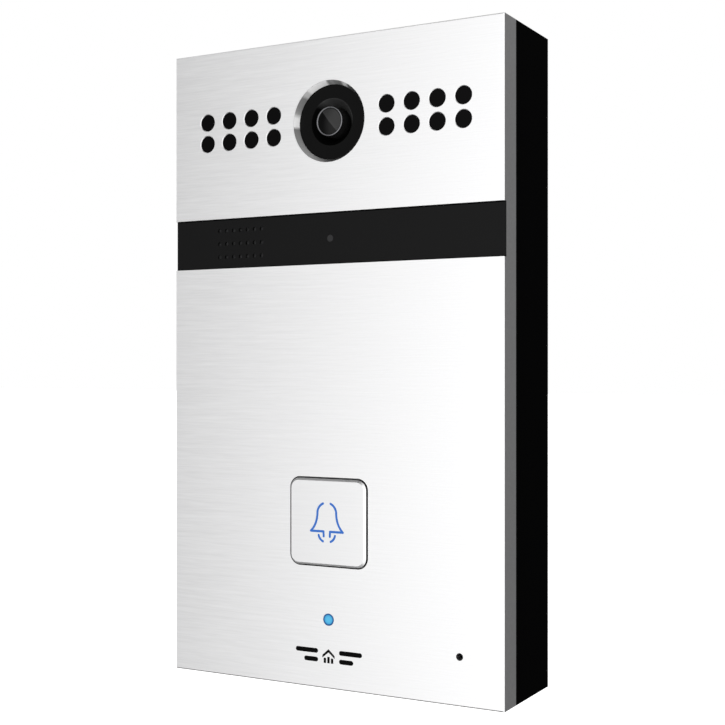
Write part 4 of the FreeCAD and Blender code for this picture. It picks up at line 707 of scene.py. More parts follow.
class Growth(NodeTree):
    """A Geometry Nodes tree with named inputs, made into a plain mesh when it is grown."""

    def __init__(self, name: str) -> None:
        """Start an empty tree.

        Args:
            name: the tree's name.
        """
        super().__init__(bpy.data.node_groups.new(name, "GeometryNodeTree"))
        self.tree.interface.new_socket(name="Geometry", in_out="OUTPUT",
                                       socket_type="NodeSocketGeometry")
        self.start = self.tree.nodes.new("NodeGroupInput")

    def takes(self, **kinds: str) -> list[Socket]:
        """Add named inputs.

        Args:
            kinds: the kind of each input, with an underscore for a space in its name.

        Returns:
            Their sockets, in order.
        """
        names = [key.replace("_", " ") for key in kinds]
        for name, kind in zip(names, kinds.values()):
            self.tree.interface.new_socket(name=name, in_out="INPUT",
                                           socket_type=f"NodeSocket{kind}")
        return [self.start.outputs[name] for name in names]

    def copies(self, points: Socket, shape: Socket) -> Socket:
        """Set a copy of a shape's object on every point."""
        source = self.add("GeometryNodeObjectInfo", Object=shape)
        return self.add("GeometryNodeInstanceOnPoints", Points=points,
                        Instance=source.outputs["Geometry"]).outputs["Instances"]

    def close(self, geometry: Socket) -> None:
        """End the tree with real meshes in the chosen finish.

        Args:
            geometry: the socket that holds the finished geometry.
        """
        finish = self.takes(Finish="Material")[0]
        real = self.add("GeometryNodeRealizeInstances", Geometry=geometry)
        dressed = self.add("GeometryNodeSetMaterial", Geometry=real.outputs["Geometry"],
                           Material=finish)
        self.add("NodeGroupOutput", Geometry=dressed.outputs["Geometry"])

    def grow(self, name: str, finish: SurfaceLook, **values: object) -> bpy.types.Object:
        """Run the tree once and keep its result as a plain mesh.

        Args:
            name: the piece's name.
            finish: the finish of the whole piece.
            values: the named inputs, with an underscore for a space.

        Returns:
            The piece, with no modifier.
        """
        material = finish.make()
        piece = bpy.data.objects.new(name, bpy.data.meshes.new(name))
        bpy.context.scene.collection.objects.link(piece)
        modifier = piece.modifiers.new("growth", "NODES")
        modifier.node_group = self.tree
        wanted = {key.replace("_", " "): value for key, value in values.items()}
        wanted["Finish"] = material
        for item in self.tree.interface.items_tree:
            if item.in_out == "INPUT":
                modifier[item.identifier] = wanted[item.name]
        graph = bpy.context.evaluated_depsgraph_get()
        grown = bpy.data.meshes.new_from_object(piece.evaluated_get(graph), depsgraph=graph)
        piece.modifiers.remove(modifier)
        piece.data = grown
        if material.name not in grown.materials:
            grown.materials.clear()
            grown.materials.append(material)
        return piece


def rows_tree() -> Growth:
    """Build the tree that sets one shape in even rows and columns.

    Returns:
        The tree, with inputs Shape, First, Columns, Rows, Column Pitch and Row Pitch.
    """
    tree = Growth("even_rows")
    shape, first, columns, rows, column_pitch, row_pitch = tree.takes(
        Shape="Object", First="Vector", Columns="Int", Rows="Int", Column_Pitch="Float",
        Row_Pitch="Float")
    across = tree.add("ShaderNodeCombineXYZ", X=column_pitch)
    up = tree.add("ShaderNodeCombineXYZ", Z=row_pitch)
    line = tree.add("GeometryNodeMeshLine", Count=columns, Start_Location=first,
                    Offset=across.outputs["Vector"])
    column = tree.add("GeometryNodeMeshLine", Count=rows, Offset=up.outputs["Vector"])
    grid = tree.add("GeometryNodeInstanceOnPoints", Points=line.outputs["Mesh"],
                    Instance=column.outputs["Mesh"])
    points = tree.add("GeometryNodeRealizeInstances", Geometry=grid.outputs["Instances"])
    tree.close(tree.copies(points.outputs["Geometry"], shape))
    return tree


def coil_tree() -> Growth:
    """Build the tree that winds a round wire about an axis along Y.

    Returns:
        The tree, with inputs Turns, Coil Radius, Wire Radius, Length and Base.
    """
    tree = Growth("wound_wire")
    turns, radius, wire, length, base = tree.takes(
        Turns="Float", Coil_Radius="Float", Wire_Radius="Float", Length="Float", Base="Vector")
    spiral = tree.add("GeometryNodeCurveSpiral", Resolution=28, Rotations=turns,
                      Start_Radius=radius, End_Radius=radius, Height=length)
    placed = tree.add("GeometryNodeTransform", Geometry=spiral.outputs["Curve"],
                      Translation=base, Rotation=QUARTER_TURN)
    section = tree.add("GeometryNodeCurvePrimitiveCircle", Resolution=10, Radius=wire)
    tube = tree.add("GeometryNodeCurveToMesh", Curve=placed.outputs["Geometry"],
                    Profile_Curve=section.outputs["Curve"], Fill_Caps=True)
    tree.close(tube.outputs["Mesh"])
    return tree


def scatter_tree() -> Growth:
    """Build the tree that scatters one shape over an upright rectangle, with gaps between.

    Returns:
        The tree, with inputs Shape, Middle, Width, Height, Gap, Density and Seed.
    """
    tree = Growth("scattered_parts")
    shape, middle, width, height, gap, density, seed = tree.takes(
        Shape="Object", Middle="Vector", Width="Float", Height="Float", Gap="Float",
        Density="Float", Seed="Int")
    sheet = tree.add("GeometryNodeMeshGrid", Size_X=width, Size_Y=height, Vertices_X=2,
                     Vertices_Y=2)
    upright = tree.add("GeometryNodeTransform", Geometry=sheet.outputs["Mesh"],
                       Translation=middle, Rotation=QUARTER_TURN)
    points = tree.add("GeometryNodeDistributePointsOnFaces", {"distribute_method": "POISSON"},
                      Mesh=upright.outputs["Geometry"], Distance_Min=gap, Density_Max=density,
                      Seed=seed)
    tree.close(tree.copies(points.outputs["Points"], shape))
    return tree


# ------------------------------------------------------------------ shared workshop


class Workshop:
    """What every sub-assembly uses: the trees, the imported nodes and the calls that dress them."""

    def __init__(self) -> None:
        """Build the trees once."""
        self.rows = rows_tree()
        self.coil = coil_tree()
        self.scatter = scatter_tree()

    def dress(self, finish: SurfaceLook, *nodes: str) -> None:
        """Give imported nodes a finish.

        Args:
            finish: the finish.
            nodes: the nodes' names.
        """
        material = finish.make()
        for name in nodes:
            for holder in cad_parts[name].material_slots:
                holder.material = material
            LOG.info("%s in %s", name, finish.name)

    def fit(self, piece: bpy.types.Object, body: str, *replaced: str,
            slot: str = "") -> bpy.types.Object:
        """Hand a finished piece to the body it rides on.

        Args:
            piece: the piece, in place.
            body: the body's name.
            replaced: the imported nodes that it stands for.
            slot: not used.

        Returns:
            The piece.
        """
        if replaced:
            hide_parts(*replaced)
        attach(piece, body)
        LOG.info("%s on %s, %d faces", piece.name, body, len(piece.data.polygons))
        return piece

    def repeated(self, tree: Growth, name: str, finish: SurfaceLook, draw: Draw,
                 **values: object) -> bpy.types.Object:
        """Grow a tree that repeats one shape.

        Args:
            tree: the tree.
            name: the piece's name.
            finish: its finish.
            draw: adds one shape, about the origin, to a bmesh.
            values: the tree's other inputs.

        Returns:
            The piece.
        """
        mesh = bmesh.new()
        draw(mesh)
        shape = piece_from(f"{name}_shape", mesh)
        piece = tree.grow(name, finish, Shape=shape, **values)
        bpy.data.objects.remove(shape)
        return piece

    def in_rows(self, name: str, finish: SurfaceLook, draw: Draw, first: Point, columns: int,
                column_pitch: float, rows: int = 1, row_pitch: float = 0.0) -> bpy.types.Object:
        """Repeat a shape in columns along x and rows along z, from the place of the first."""
        return self.repeated(self.rows, name, finish, draw, First=first, Columns=columns,
                             Rows=rows, Column_Pitch=column_pitch, Row_Pitch=row_pitch)

    def scattered(self, name: str, finish: SurfaceLook, draw: Draw,
                  **values: object) -> bpy.types.Object:
        """Scatter a shape over an upright rectangle, by the scatter tree's own inputs."""
        return self.repeated(self.scatter, name, finish, draw, **values)


def middle_of(node: str) -> Vector:
    """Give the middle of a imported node's box."""
    low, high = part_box(node)
    return (Vector(low) + Vector(high)) / 2


def face_centre(node: str, back: bool = False) -> Point:
    """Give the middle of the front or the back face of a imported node's box."""
    low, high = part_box(node)
    return ((low[0] + high[0]) / 2, (high if back else low)[1], (low[2] + high[2]) / 2)


# ------------------------------------------------------------------ sub-assemblies


@dataclass
class FrontPanel:
    """The brushed plate with the black strip, the lights and the small print."""

    print_sunk: float = 0.005 * MM
    print_proud: float = 0.02 * MM
    print_drop: float = 10.1 * MM
    bar_width: float = 7.2 * MM
    bar_height: float = 1.3 * MM
    bar_gap: float = 1.4 * MM
    short_bar: float = 0.62
    bar_rise: float = 0.92
    house_side: float = 3.9 * MM
    house_line: float = 0.75 * MM
    wall_inset: float = 0.78
    channel_gap: float = 0.29 * MM
    # depth and overlap of the painted shade in the channel
    shade_fill_depth: float = 0.62 * MM
    shade_fill_lap: float = 0.01 * MM
    light_radius: float = 1.5 * MM

    def dress(self, shop: Workshop) -> None:
        """Give the panel's parts their finishes.

        Args:
            shop: the workshop.
        """
        shop.dress(BRUSHED, "front_panel")
        shop.dress(STRIP, "front_strip")
        shop.dress(SENSOR, "light_sensor_pipe")
        shop.dress(PACKAGE, "light_sensor")
        shop.dress(SILICONE, "main_gasket", "microphone_boot")
        shop.dress(CAPSULE, "microphone")
        shop.dress(LAMP_CHIP, "status_lamp")
        glow = GlowFinish("status_light", face_centre("status_light_pipe"), self.light_radius,
                          core=(0.102, 0.5, 0.79), side=(0.065, 0.37, 0.68),
                          rim=(0.008, 0.07, 0.24))
        shop.dress(glow, "status_light_pipe")

    def bars(self, z: float) -> list[Outline]:
        """List the two bars on each side of the house, the lower ones shorter.

        Args:
            z: the height of the print's middle.

        Returns:
            Their outlines.
        """
        outlines = []
        offset = self.house_side / 2 + self.bar_gap + self.bar_width / 2
        for side in (-1, 1):
            for row in (-1, 1):
                width = self.bar_width if row == 1 else self.bar_width * self.short_bar
                x = side * (offset - (self.bar_width - width) / 2)
                middle = (x, z + row * self.bar_height * self.bar_rise)
                outlines.append(rounded_outline(width, self.bar_height, self.bar_height / 2.05,
                                                middle))
        return outlines

    def house(self, z: float) -> list[Outline]:
        """List the roof, the two walls and the door of the house.

        Args:
            z: the height of the print's middle.

        Returns:
            Their outlines.
        """
        half, line = self.house_side / 2, self.house_line
        eaves = z + half * 0.1
        outlines = [[(-half, eaves), (0.0, z + half), (half, eaves), (half, eaves - line),
                     (0.0, z + half - line * 1.2), (-half, eaves - line)]]
        for side in (-1, 1):
            wall = side * (half * self.wall_inset - line / 2)
            outlines.append(plain_outline(wall - line / 2, wall + line / 2, z - half,
                                          eaves - line))
        outlines.append(plain_outline(-line / 2, line / 2, z - half, z - half * 0.1))
        return outlines

    def printed_mark(self) -> bpy.types.Object:
        """Build the plain print: a house between two pairs of bars.

        Returns:
            The print.
        """
        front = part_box("front_panel")[0][1]
        z = middle_of("status_light_pipe").z - self.print_drop
        mesh = bmesh.new()
        for outline in self.bars(z) + self.house(z):
            cut_out(mesh, outline, front + self.print_sunk, front - self.print_proud)
        return piece_from("printed_mark", mesh, INK)

    def strip_beads(self) -> bpy.types.Object:
        """Build the black fills in the channel above and below the strip: painted shade along the
        strip's edges.

        Returns:
            The painted shade.
        """
        low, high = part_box("front_strip")
        floor = high[1] - self.shade_fill_lap
        mesh = bmesh.new()
        # painted shade: dark slabs that stand for the channel's shadow above and below the strip
        for z in (high[2] + self.channel_gap / 2, low[2] - self.channel_gap / 2):
            slab(mesh, ((low[0] + high[0]) / 2, floor - self.shade_fill_depth / 2, z),
                 (high[0] - low[0], self.shade_fill_depth, self.channel_gap))
        return piece_from("strip_beads", mesh, PAINTED_SHADE_BLACK)

    def build(self, shop: Workshop) -> None:
        """Dress the parts and fit the print and the painted shade along the strip.

        Args:
            shop: the workshop.
        """
        self.dress(shop)
        shop.fit(self.printed_mark(), "casing")
        shop.fit(self.strip_beads(), "casing")


@dataclass
class CameraEye:
    """The polished ring, the hood and the lens with all that stands behind it."""

    outer: float = 11.3 * MM
    lip: float = 0.06 * MM
    cone: float = 0.84 * MM
    taper: float = 1.56 * MM
    flange_depth: float = 0.8 * MM
    rim_inner: float = 3.6 * MM
    rim_steps: int = 8
    ring_steps: int = 160
    hood_reach: float = 6.6 * MM
    glass_reach: float = 4.5 * MM

    def chrome_ring(self) -> bpy.types.Object:
        """Build the polished ring, whose mouth tapers inwards.

        Returns:
            The ring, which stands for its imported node.
        """
        low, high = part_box("camera_trim_ring")
        centre = face_centre("camera_trim_ring", back=True)
        depth = high[1] - low[1]
        flange = (high[0] - low[0]) / 2
        bore = self.outer - self.lip - self.cone
        profile = [(flange, 0.0), (flange, self.flange_depth), (self.outer, self.flange_depth),
                   (self.outer, depth - self.lip), (self.outer - self.lip, depth),
                   (bore, depth - self.taper), (bore, 0.0)]
        mesh = bmesh.new()
        turned(mesh, profile, centre, self.ring_steps)
        # the ring's finish paints its reflections as light and dark greys round the axis
        return piece_from("chrome_ring", mesh, RingPaintedReflectionFinish("trim_chrome", centre), 50.0)

    def rim_bead(self) -> bpy.types.Object:
        """Build the half-round ring that holds the front glass.

        Returns:
            The ring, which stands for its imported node.
        """
        low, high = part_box("lens_rim")
        outer = (high[0] - low[0]) / 2
        depth = high[1] - low[1]
        middle, half = (outer + self.rim_inner) / 2, (outer - self.rim_inner) / 2
        profile = [(outer, 0.0)]
        for step in range(self.rim_steps + 1):
            angle = math.pi * step / self.rim_steps
            profile.append((middle + half * math.cos(angle),
                            depth * (0.5 + 0.5 * math.sin(angle))))
        profile.append((self.rim_inner, 0.0))
        mesh = bmesh.new()
        turned(mesh, profile, face_centre("lens_rim", back=True), self.ring_steps)
        return piece_from("lens_rim_bead", mesh, RIM)

    def build(self, shop: Workshop) -> None:
        """Dress the parts and fit the rings.

        Args:
            shop: the workshop.
        """
        # painted highlight on the hood's dish: its black is lighter towards the upper right
        hood_painted_highlight = PaintedSideHighlightFinish("hood_black", face_centre("lens_hood"), self.hood_reach,
                           side=(0.45, 0.89), tones=((0.62, 0.0018), (0.8, 0.05), (0.96, 0.035)),
                           rough=(0.34, 0.4), specular=0.08)
        shop.dress(hood_painted_highlight, "lens_hood")
        shop.dress(BARREL, "lens_barrel", "lens_holder", "filter_retainer", "filter_frame")
        # painted reflection on the front glass: a lighter upper-right half with a sharp edge across
        # the middle
        glass = PaintedSideHighlightFinish("lens_glass", face_centre("front_lens"), self.glass_reach,
                            side=(0.78, 0.62), tones=((0.49, 0.004), (0.51, 0.038), (0.6, 0.032)),
                            rough=(0.02, 0.03), specular=0.15)
        shop.dress(glass, "front_lens")
        shop.dress(REAR_GLASS, "rear_lens")
        shop.dress(DAY_FILTER, "day_filter")
        shop.dress(CLEAR, "night_filter")
        shop.dress(COPPER, "filter_coil")
        shop.dress(PACKAGE, "image_sensor")
        shop.dress(BOARD, "camera_board")
        shop.dress(RIBBON, "camera_ribbon")
        shop.dress(CONNECTOR, "ribbon_connectors")
        shop.fit(self.chrome_ring(), "casing", "camera_trim_ring", slot="trim_chrome")
        shop.fit(self.rim_bead(), "casing", "lens_rim", slot="rim_metal")


@dataclass
class LampBanks:
    """The two sets of eight lamps behind their dark windows."""

    def build(self, shop: Workshop) -> None:
        """Dress the parts.

        Args:
            shop: the workshop.
        """
        shop.dress(WINDOW, "lamp_window_left", "lamp_window_right")
        shop.dress(LAMP_BODY, "lamps_left", "lamps_right")
        shop.dress(BOARD, "lamp_board_left", "lamp_board_right")


@dataclass
class SpeakerUnit:
    """The speaker behind the small holes of the strip."""

    def build(self, shop: Workshop) -> None:
        """Dress the parts.

        Args:
            shop: the workshop.
        """
        shop.dress(CLOTH, "speaker_mesh")
        shop.dress(FOAM, "speaker_gasket")
        shop.dress(BASKET, "speaker_frame")
        shop.dress(CONE, "speaker_cone")
        shop.dress(MAGNET, "speaker_magnet")


@dataclass
class CallButton:
    """The square button with its lit bell, and the switch under it."""

    opening: float = 24.78 * MM
    corner: float = 3.19 * MM
    # wall of the painted-shade sleeve in the button's gap
    shade_wall: float = 0.12 * MM
    inset: float = 0.1 * MM
    depth: float = 0.9 * MM
    glow_radius: float = 14.0 * MM

    def gap_painted_shade(self) -> bpy.types.Object:
        """Build the dark sleeve in the opening round the button: painted shade in the gap.

        Returns:
            The painted shade.
        """
        middle = middle_of("call_button_cap")
        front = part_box("front_panel")[0][1] + self.inset
        outer = rounded_outline(self.opening, self.opening, self.corner, (middle.x, middle.z))
        side = self.opening - 2 * self.shade_wall
        inner = rounded_outline(side, side, self.corner - self.shade_wall, (middle.x, middle.z))
        mesh = bmesh.new()
        # painted shade: a dark sleeve that stands for the shade down in the gap round the cap
        sleeve(mesh, outer, inner, front + self.depth, front)
        return piece_from("button_lining", mesh, PAINTED_SHADE_BLACK)

    def build(self, shop: Workshop) -> None:
        """Fit the painted shade in the gap and dress the parts.

        Args:
            shop: the workshop.
        """
        shop.fit(self.gap_painted_shade(), "casing")
        shop.dress(BRUSHED_CAP, "call_button_cap")
        glow = GlowFinish("bell_light", face_centre("bell_light_guide"), self.glow_radius,
                          core=(0.042, 0.16, 0.55), side=(0.036, 0.14, 0.5),
                          rim=(0.032, 0.12, 0.46))
        shop.dress(glow, "bell_light_guide")
        shop.dress(ACETAL, "button_carrier", "tact_switch_stem")
        shop.dress(SILICONE, "button_seal")
        shop.dress(ZINC, "button_retainer")
        shop.dress(SCREW_STEEL, "small_screws")
        shop.dress(PACKAGE, "tact_switch_body")
        shop.dress(LAMP_CHIP, "button_lamps")


@dataclass(frozen=True)
class ChipPackage:
    """A black package on the main board, with a row of legs above and below it."""

    name: str
    x: float
    z: float
    width: float
    height: float
    legs: int


@dataclass
class MainBoard:
    """The main circuit board with the small parts that show through the wiring bay."""

    chips: tuple[ChipPackage, ...] = (
        ChipPackage("line_transformer", 17.0 * MM, -24.0 * MM, 12.8 * MM, 8.6 * MM, 8),
        ChipPackage("power_chip", -6.0 * MM, -25.0 * MM, 5.2 * MM, 4.0 * MM, 4),
        ChipPackage("bridge_rectifier", 6.0 * MM, -24.0 * MM, 5.0 * MM, 4.6 * MM, 3),
    )
    part_height: float = 1.6 * MM
    part_lift: float = 0.15 * MM
    dot_inset: float = 1.1 * MM
    dot_lift: float = 0.17 * MM
    leg_width: float = 0.42 * MM
    leg_pitch: float = 1.27 * MM
    leg_reach: float = 0.3 * MM
    part_pitch: float = 1.7 * MM
    row_pitch: float = 2.6 * MM
    joint_pitch: float = 4.6 * MM
    core_side: float = 7.6 * MM
    core_height: float = 1.9 * MM

    def gull_leg(self, mesh: Mesh) -> None:
        """Add one bent leg, which leaves a package upwards and steps down to the board.

        Args:
            mesh: the bmesh to add to.
        """
        slab(mesh, (0.0, 0.75 * MM, -0.25 * MM), (self.leg_width, 0.2 * MM, 0.5 * MM))
        slab(mesh, (0.0, 0.45 * MM, 0.05 * MM), (self.leg_width, 0.7 * MM, 0.18 * MM))
        slab(mesh, (0.0, 0.12 * MM, 0.4 * MM), (self.leg_width, 0.18 * MM, 0.6 * MM))

    def gull_leg_down(self, mesh: Mesh) -> None:
        """Add one bent leg that leaves a package downwards."""
        self.gull_leg(mesh)
        bmesh.ops.transform(mesh, matrix=Matrix.Diagonal((1.0, 1.0, -1.0, 1.0)), verts=mesh.verts)

    def package(self, shop: Workshop, chip: ChipPackage, face: float) -> None:
        """Build a package, the round mark in its corner and its legs.

        Args:
            shop: the workshop.
            chip: the package's place and size.
            face: y of the board's back face.
        """
        mesh = bmesh.new()
        slab(mesh, (chip.x, face + self.part_lift + self.part_height / 2, chip.z),
             (chip.width, self.part_height, chip.height), 0.18 * MM)
        turned(mesh, ((0.0, 0.0), (0.5 * MM, 0.0), (0.5 * MM, 0.02 * MM), (0.0, 0.02 * MM)),
               (chip.x - chip.width / 2 + self.dot_inset, face + self.dot_lift + self.part_height,
                chip.z + chip.height / 2 - self.dot_inset), 20, False)
        shop.fit(piece_from(chip.name, mesh, PACKAGE), "casing")
        first_x = chip.x - (chip.legs - 1) * self.leg_pitch / 2
        for row, leg, side in (("upper", self.gull_leg, 1), ("lower", self.gull_leg_down, -1)):
            first = (first_x, face, chip.z + side * chip.height / 2 + side * self.leg_reach)
            legs = shop.in_rows(f"{chip.name}_{row}_legs", TIN, leg, first, chip.legs,
                                self.leg_pitch)
            shop.fit(legs, "casing")

    @staticmethod
    def chip_resistor(mesh: Mesh) -> None:
        """Add the body of one small resistor."""
        slab(mesh, (0.0, 0.25 * MM, 0.0), (0.8 * MM, 0.42 * MM, 1.0 * MM), 0.03 * MM)

    @staticmethod
    def chip_caps(mesh: Mesh) -> None:
        """Add the two tinned ends of one small part."""
        for side in (-1, 1):
            slab(mesh, (0.0, 0.24 * MM, side * 0.66 * MM), (0.84 * MM, 0.46 * MM, 0.34 * MM),
                 0.04 * MM)

    @staticmethod
    def solder_dome(mesh: Mesh) -> None:
        """Add one soldered joint, with the cut end of a lead in its middle.

        Args:
            mesh: the bmesh to add to.
        """
        profile = ((0.0, 0.0), (0.95 * MM, 0.0), (0.8 * MM, -0.22 * MM), (0.45 * MM, -0.55 * MM),
                   (0.34 * MM, -0.95 * MM), (0.0, -0.98 * MM))
        turned(mesh, profile, ORIGIN, 20, False)

    @staticmethod
    def test_pad(mesh: Mesh) -> None:
        """Add one small round pad."""
        profile = ((0.0, 0.0), (0.5 * MM, 0.0), (0.42 * MM, -0.05 * MM), (0.0, -0.06 * MM))
        turned(mesh, profile, ORIGIN, 12, False)

    def small_parts(self, shop: Workshop, face: float) -> None:
        """Build the neat rows of resistors and capacitors, the pads and the soldered joints.

        Args:
            shop: the workshop.
            face: y of the board's back face.
        """
        blocks = (("resistors_low", PACKAGE, (-27.5 * MM, face, -35.0 * MM), 6, 3),
                  ("capacitors_low", CERAMIC, (2.0 * MM, face, -35.0 * MM), 5, 2),
                  ("resistors_side", PACKAGE, (-5.5 * MM, face, -17.5 * MM), 4, 1),
                  ("capacitors_side", CERAMIC, (25.6 * MM, face, -33.5 * MM), 3, 4))
        for name, body, first, columns, rows in blocks:
            for label, finish, draw in ((name, body, self.chip_resistor),
                                        (f"{name}_ends", TIN, self.chip_caps)):
                row = shop.in_rows(label, finish, draw, first, columns, self.part_pitch, rows,
                                   self.row_pitch)
                shop.fit(row, "casing")
        joints = shop.in_rows("capacitor_joints", SOLDER, self.solder_dome,
                              (-36.8 * MM, face, -12.0 * MM), 6, self.joint_pitch)
        shop.fit(joints, "casing")
        pads = shop.scattered("test_pads", SOLDER, self.test_pad,
                              Middle=(33.8 * MM, face, -24.0 * MM), Width=6.5 * MM,
                              Height=22.0 * MM, Gap=1.6 * MM, Density=300000.0, Seed=7)
        shop.fit(pads, "casing")

    def inductor(self, face: float) -> bpy.types.Object:
        """Build the square shielded inductor.

        Args:
            face: y of the board's back face.

        Returns:
            The inductor's core.
        """
        mesh = bmesh.new()
        x, z = -20.5 * MM, -20.5 * MM
        slab(mesh, (x, face + 1.0 * MM, z), (self.core_side, self.core_height, self.core_side),
             0.6 * MM)
        turned(mesh, ((0.0, 0.0), (2.8 * MM, 0.0), (2.7 * MM, -0.12 * MM), (0.0, -0.12 * MM)),
               (x, face + 1.95 * MM, z), 40, False)
        return piece_from("power_inductor", mesh, FERRITE)

    def build(self, shop: Workshop) -> None:
        """Dress the boards and build their small parts.

        Args:
            shop: the workshop.
        """
        shop.dress(BOARD, "main_board")
        shop.dress(SCREW_STEEL, "board_screws", "casing_screws")
        shop.dress(TIN, "processor_shield")
        shop.dress(RELAY, "door_relay")
        shop.dress(SLEEVE, "capacitors")
        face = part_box("main_board")[1][1]
        for chip in self.chips:
            self.package(shop, chip, face)
        shop.fit(self.inductor(face), "casing")
        self.small_parts(shop, face)


@dataclass
class RearConnections:
    """The network socket and the screw terminals that face the wall."""

    contacts: int = 8
    contact_pitch: float = 1.02 * MM
    contact_half: float = 0.17 * MM
    terminals: int = 8
    screw_pitch: float = 3.81 * MM
    screw_depth: float = 1.75 * MM
    comb_depth: float = 9.9 * MM

    def contact(self, mesh: Mesh) -> None:
        """Add one sprung contact wire, which leans out of the socket's floor.

        Args:
            mesh: the bmesh to add to.
        """
        path = ((-11.6 * MM, 0.0), (-10.2 * MM, 0.35 * MM), (-3.2 * MM, 2.6 * MM),
                (-1.0 * MM, 3.1 * MM))
        half = self.contact_half
        for (z1, y1), (z2, y2) in zip(path, path[1:]):
            corners = []
            for z, y in ((z1, y1), (z2, y2)):
                for across, up in ((-half, -half), (half, -half), (half, half), (-half, half)):
                    corners.append(mesh.verts.new((across, y + up, z)))
            near, far = corners[:4], corners[4:]
            for side in range(4):
                following = (side + 1) % 4
                mesh.faces.new([near[side], near[following], far[following], far[side]])
            mesh.faces.new(near)
            mesh.faces.new(far)

    @staticmethod
    def terminal_screw(mesh: Mesh) -> None:
        """Add one slotted screw head that faces the wall.

        Args:
            mesh: the bmesh to add to.
        """
        radius, slot, height = 1.3 * MM, 0.24 * MM, 1.0 * MM
        for side in (-1, 1):
            outline = []
            start = math.asin(slot / radius)
            for step in range(17):
                angle = start + (math.pi - 2 * start) * step / 16
                outline.append((radius * math.cos(angle), side * radius * math.sin(angle)))
            cut_out(mesh, outline, 0.0, height)
        floor = rounded_outline(2 * radius * 0.96, slot * 2.2, slot * 0.4, (0.0, 0.0))
        cut_out(mesh, floor, 0.0, height * 0.45)

    @staticmethod
    def wire_cage(mesh: Mesh) -> None:
        """Add one steel cage inside a wire's entry.

        Args:
            mesh: the bmesh to add to.
        """
        outer, inner = 1.24 * MM, 1.02 * MM
        bottom, top = 0.5 * MM, 4.6 * MM
        steps = 20
        rings = []
        for radius, z in ((outer, bottom), (outer, top), (inner, top), (inner, bottom)):
            around = []
            for step in range(steps):
                angle = math.tau * step / steps
                around.append(mesh.verts.new((radius * math.cos(angle),
                                              radius * math.sin(angle), z)))
            rings.append(around)
        join_rings(mesh, rings)

    def socket_insert(self) -> bpy.types.Object:
        """Build the black comb that the contacts lie in.

        Returns:
            The comb.
        """
        low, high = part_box("ethernet_port")
        x = (low[0] + high[0]) / 2
        y = high[1] - self.comb_depth
        mesh = bmesh.new()
        slab(mesh, (x, y - 0.62 * MM, low[2] + 12.9 * MM), (11.6 * MM, 0.4 * MM, 2.0 * MM),
             0.05 * MM)
        for rib in range(self.contacts + 1):
            rib_x = x + (rib - self.contacts // 2) * self.contact_pitch
            slab(mesh, (rib_x, y - 0.4 * MM, low[2] + 3.0 * MM),
                 (0.22 * MM, 0.5 * MM, 3.2 * MM), 0.04 * MM)
        return piece_from("socket_comb", mesh, INSERT)

    def build(self, shop: Workshop) -> None:
        """Dress the socket and the terminals and build what they hold.

        Args:
            shop: the workshop.
        """
        shop.dress(TIN, "ethernet_port")
        shop.dress(TERMINAL, "terminal_block")
        low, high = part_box("ethernet_port")
        first = ((low[0] + high[0]) / 2 - 3.5 * self.contact_pitch, low[1] + 1.45 * MM,
                 high[2] - 4.6 * MM)
        contacts = shop.in_rows("socket_contacts", GOLD, self.contact, first, self.contacts,
                                self.contact_pitch)
        shop.fit(contacts, "casing")
        shop.fit(self.socket_insert(), "casing")
        low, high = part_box("terminal_block")
        x = (low[0] + high[0]) / 2 - 3.5 * self.screw_pitch
        top = (x, high[1] - self.screw_depth, (low[2] + high[2]) / 2)
        side = (x, (low[1] + high[1]) / 2, low[2])
        heads = shop.in_rows("terminal_screws", SCREW_STEEL, self.terminal_screw, top,
                             self.terminals, self.screw_pitch)
        shop.fit(heads, "casing")
        cages = shop.in_rows("terminal_cages", TIN, self.wire_cage, side, self.terminals,
                             self.screw_pitch)
        shop.fit(cages, "casing")


@dataclass
class WallSide:
    """The housing, the steel wall plate, the locking screws and the tamper pin."""

    wire: float = 0.24 * MM
    clearance: float = 0.1 * MM
    turns: float = 5.0

    def tamper_coil(self, shop: Workshop) -> bpy.types.Object:
        """Build the wound spring round the tamper pin.

        Args:
            shop: the workshop.

        Returns:
            The spring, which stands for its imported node.
        """
        low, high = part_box("tamper_spring")
        radius = (high[0] - low[0]) / 2 - self.wire - self.clearance
        base = ((low[0] + high[0]) / 2, high[1] - self.wire, (low[2] + high[2]) / 2)
        return shop.coil.grow("tamper_coil", SPRING, Turns=self.turns, Coil_Radius=radius,
                              Wire_Radius=self.wire, Length=high[1] - low[1] - 2 * self.wire,
                              Base=base)

    def build(self, shop: Workshop) -> None:
        """Dress the parts and build the spring in place of its imported node.

        Args:
            shop: the workshop.
        """
        shop.dress(HOUSING, "rear_housing")
        shop.dress(ZINC, "wall_bracket")
        shop.dress(SCREW_STEEL, "lock_screws")
        shop.dress(ACETAL, "tamper_plunger")
        shop.dress(PACKAGE, "tamper_switch")
        coil = self.tamper_coil(shop)
        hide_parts("tamper_spring")
        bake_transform(coil)
        LOG.info("tamper_coil between casing and tamper_pin")


# ------------------------------------------------------------------ studio


@dataclass(frozen=True)
class SoftCard:
    """A large soft light far from the object: full inside one angle and gone outside another."""

    azimuth: float
    elevation: float
    full: float
    gone: float
    strength: float

    def direction(self) -> Point:
        """Give the direction from the object to the card's middle."""
        turn, lift = math.radians(self.azimuth), math.radians(self.elevation)
        return (math.sin(turn) * math.cos(lift), -math.cos(turn) * math.cos(lift), math.sin(lift))


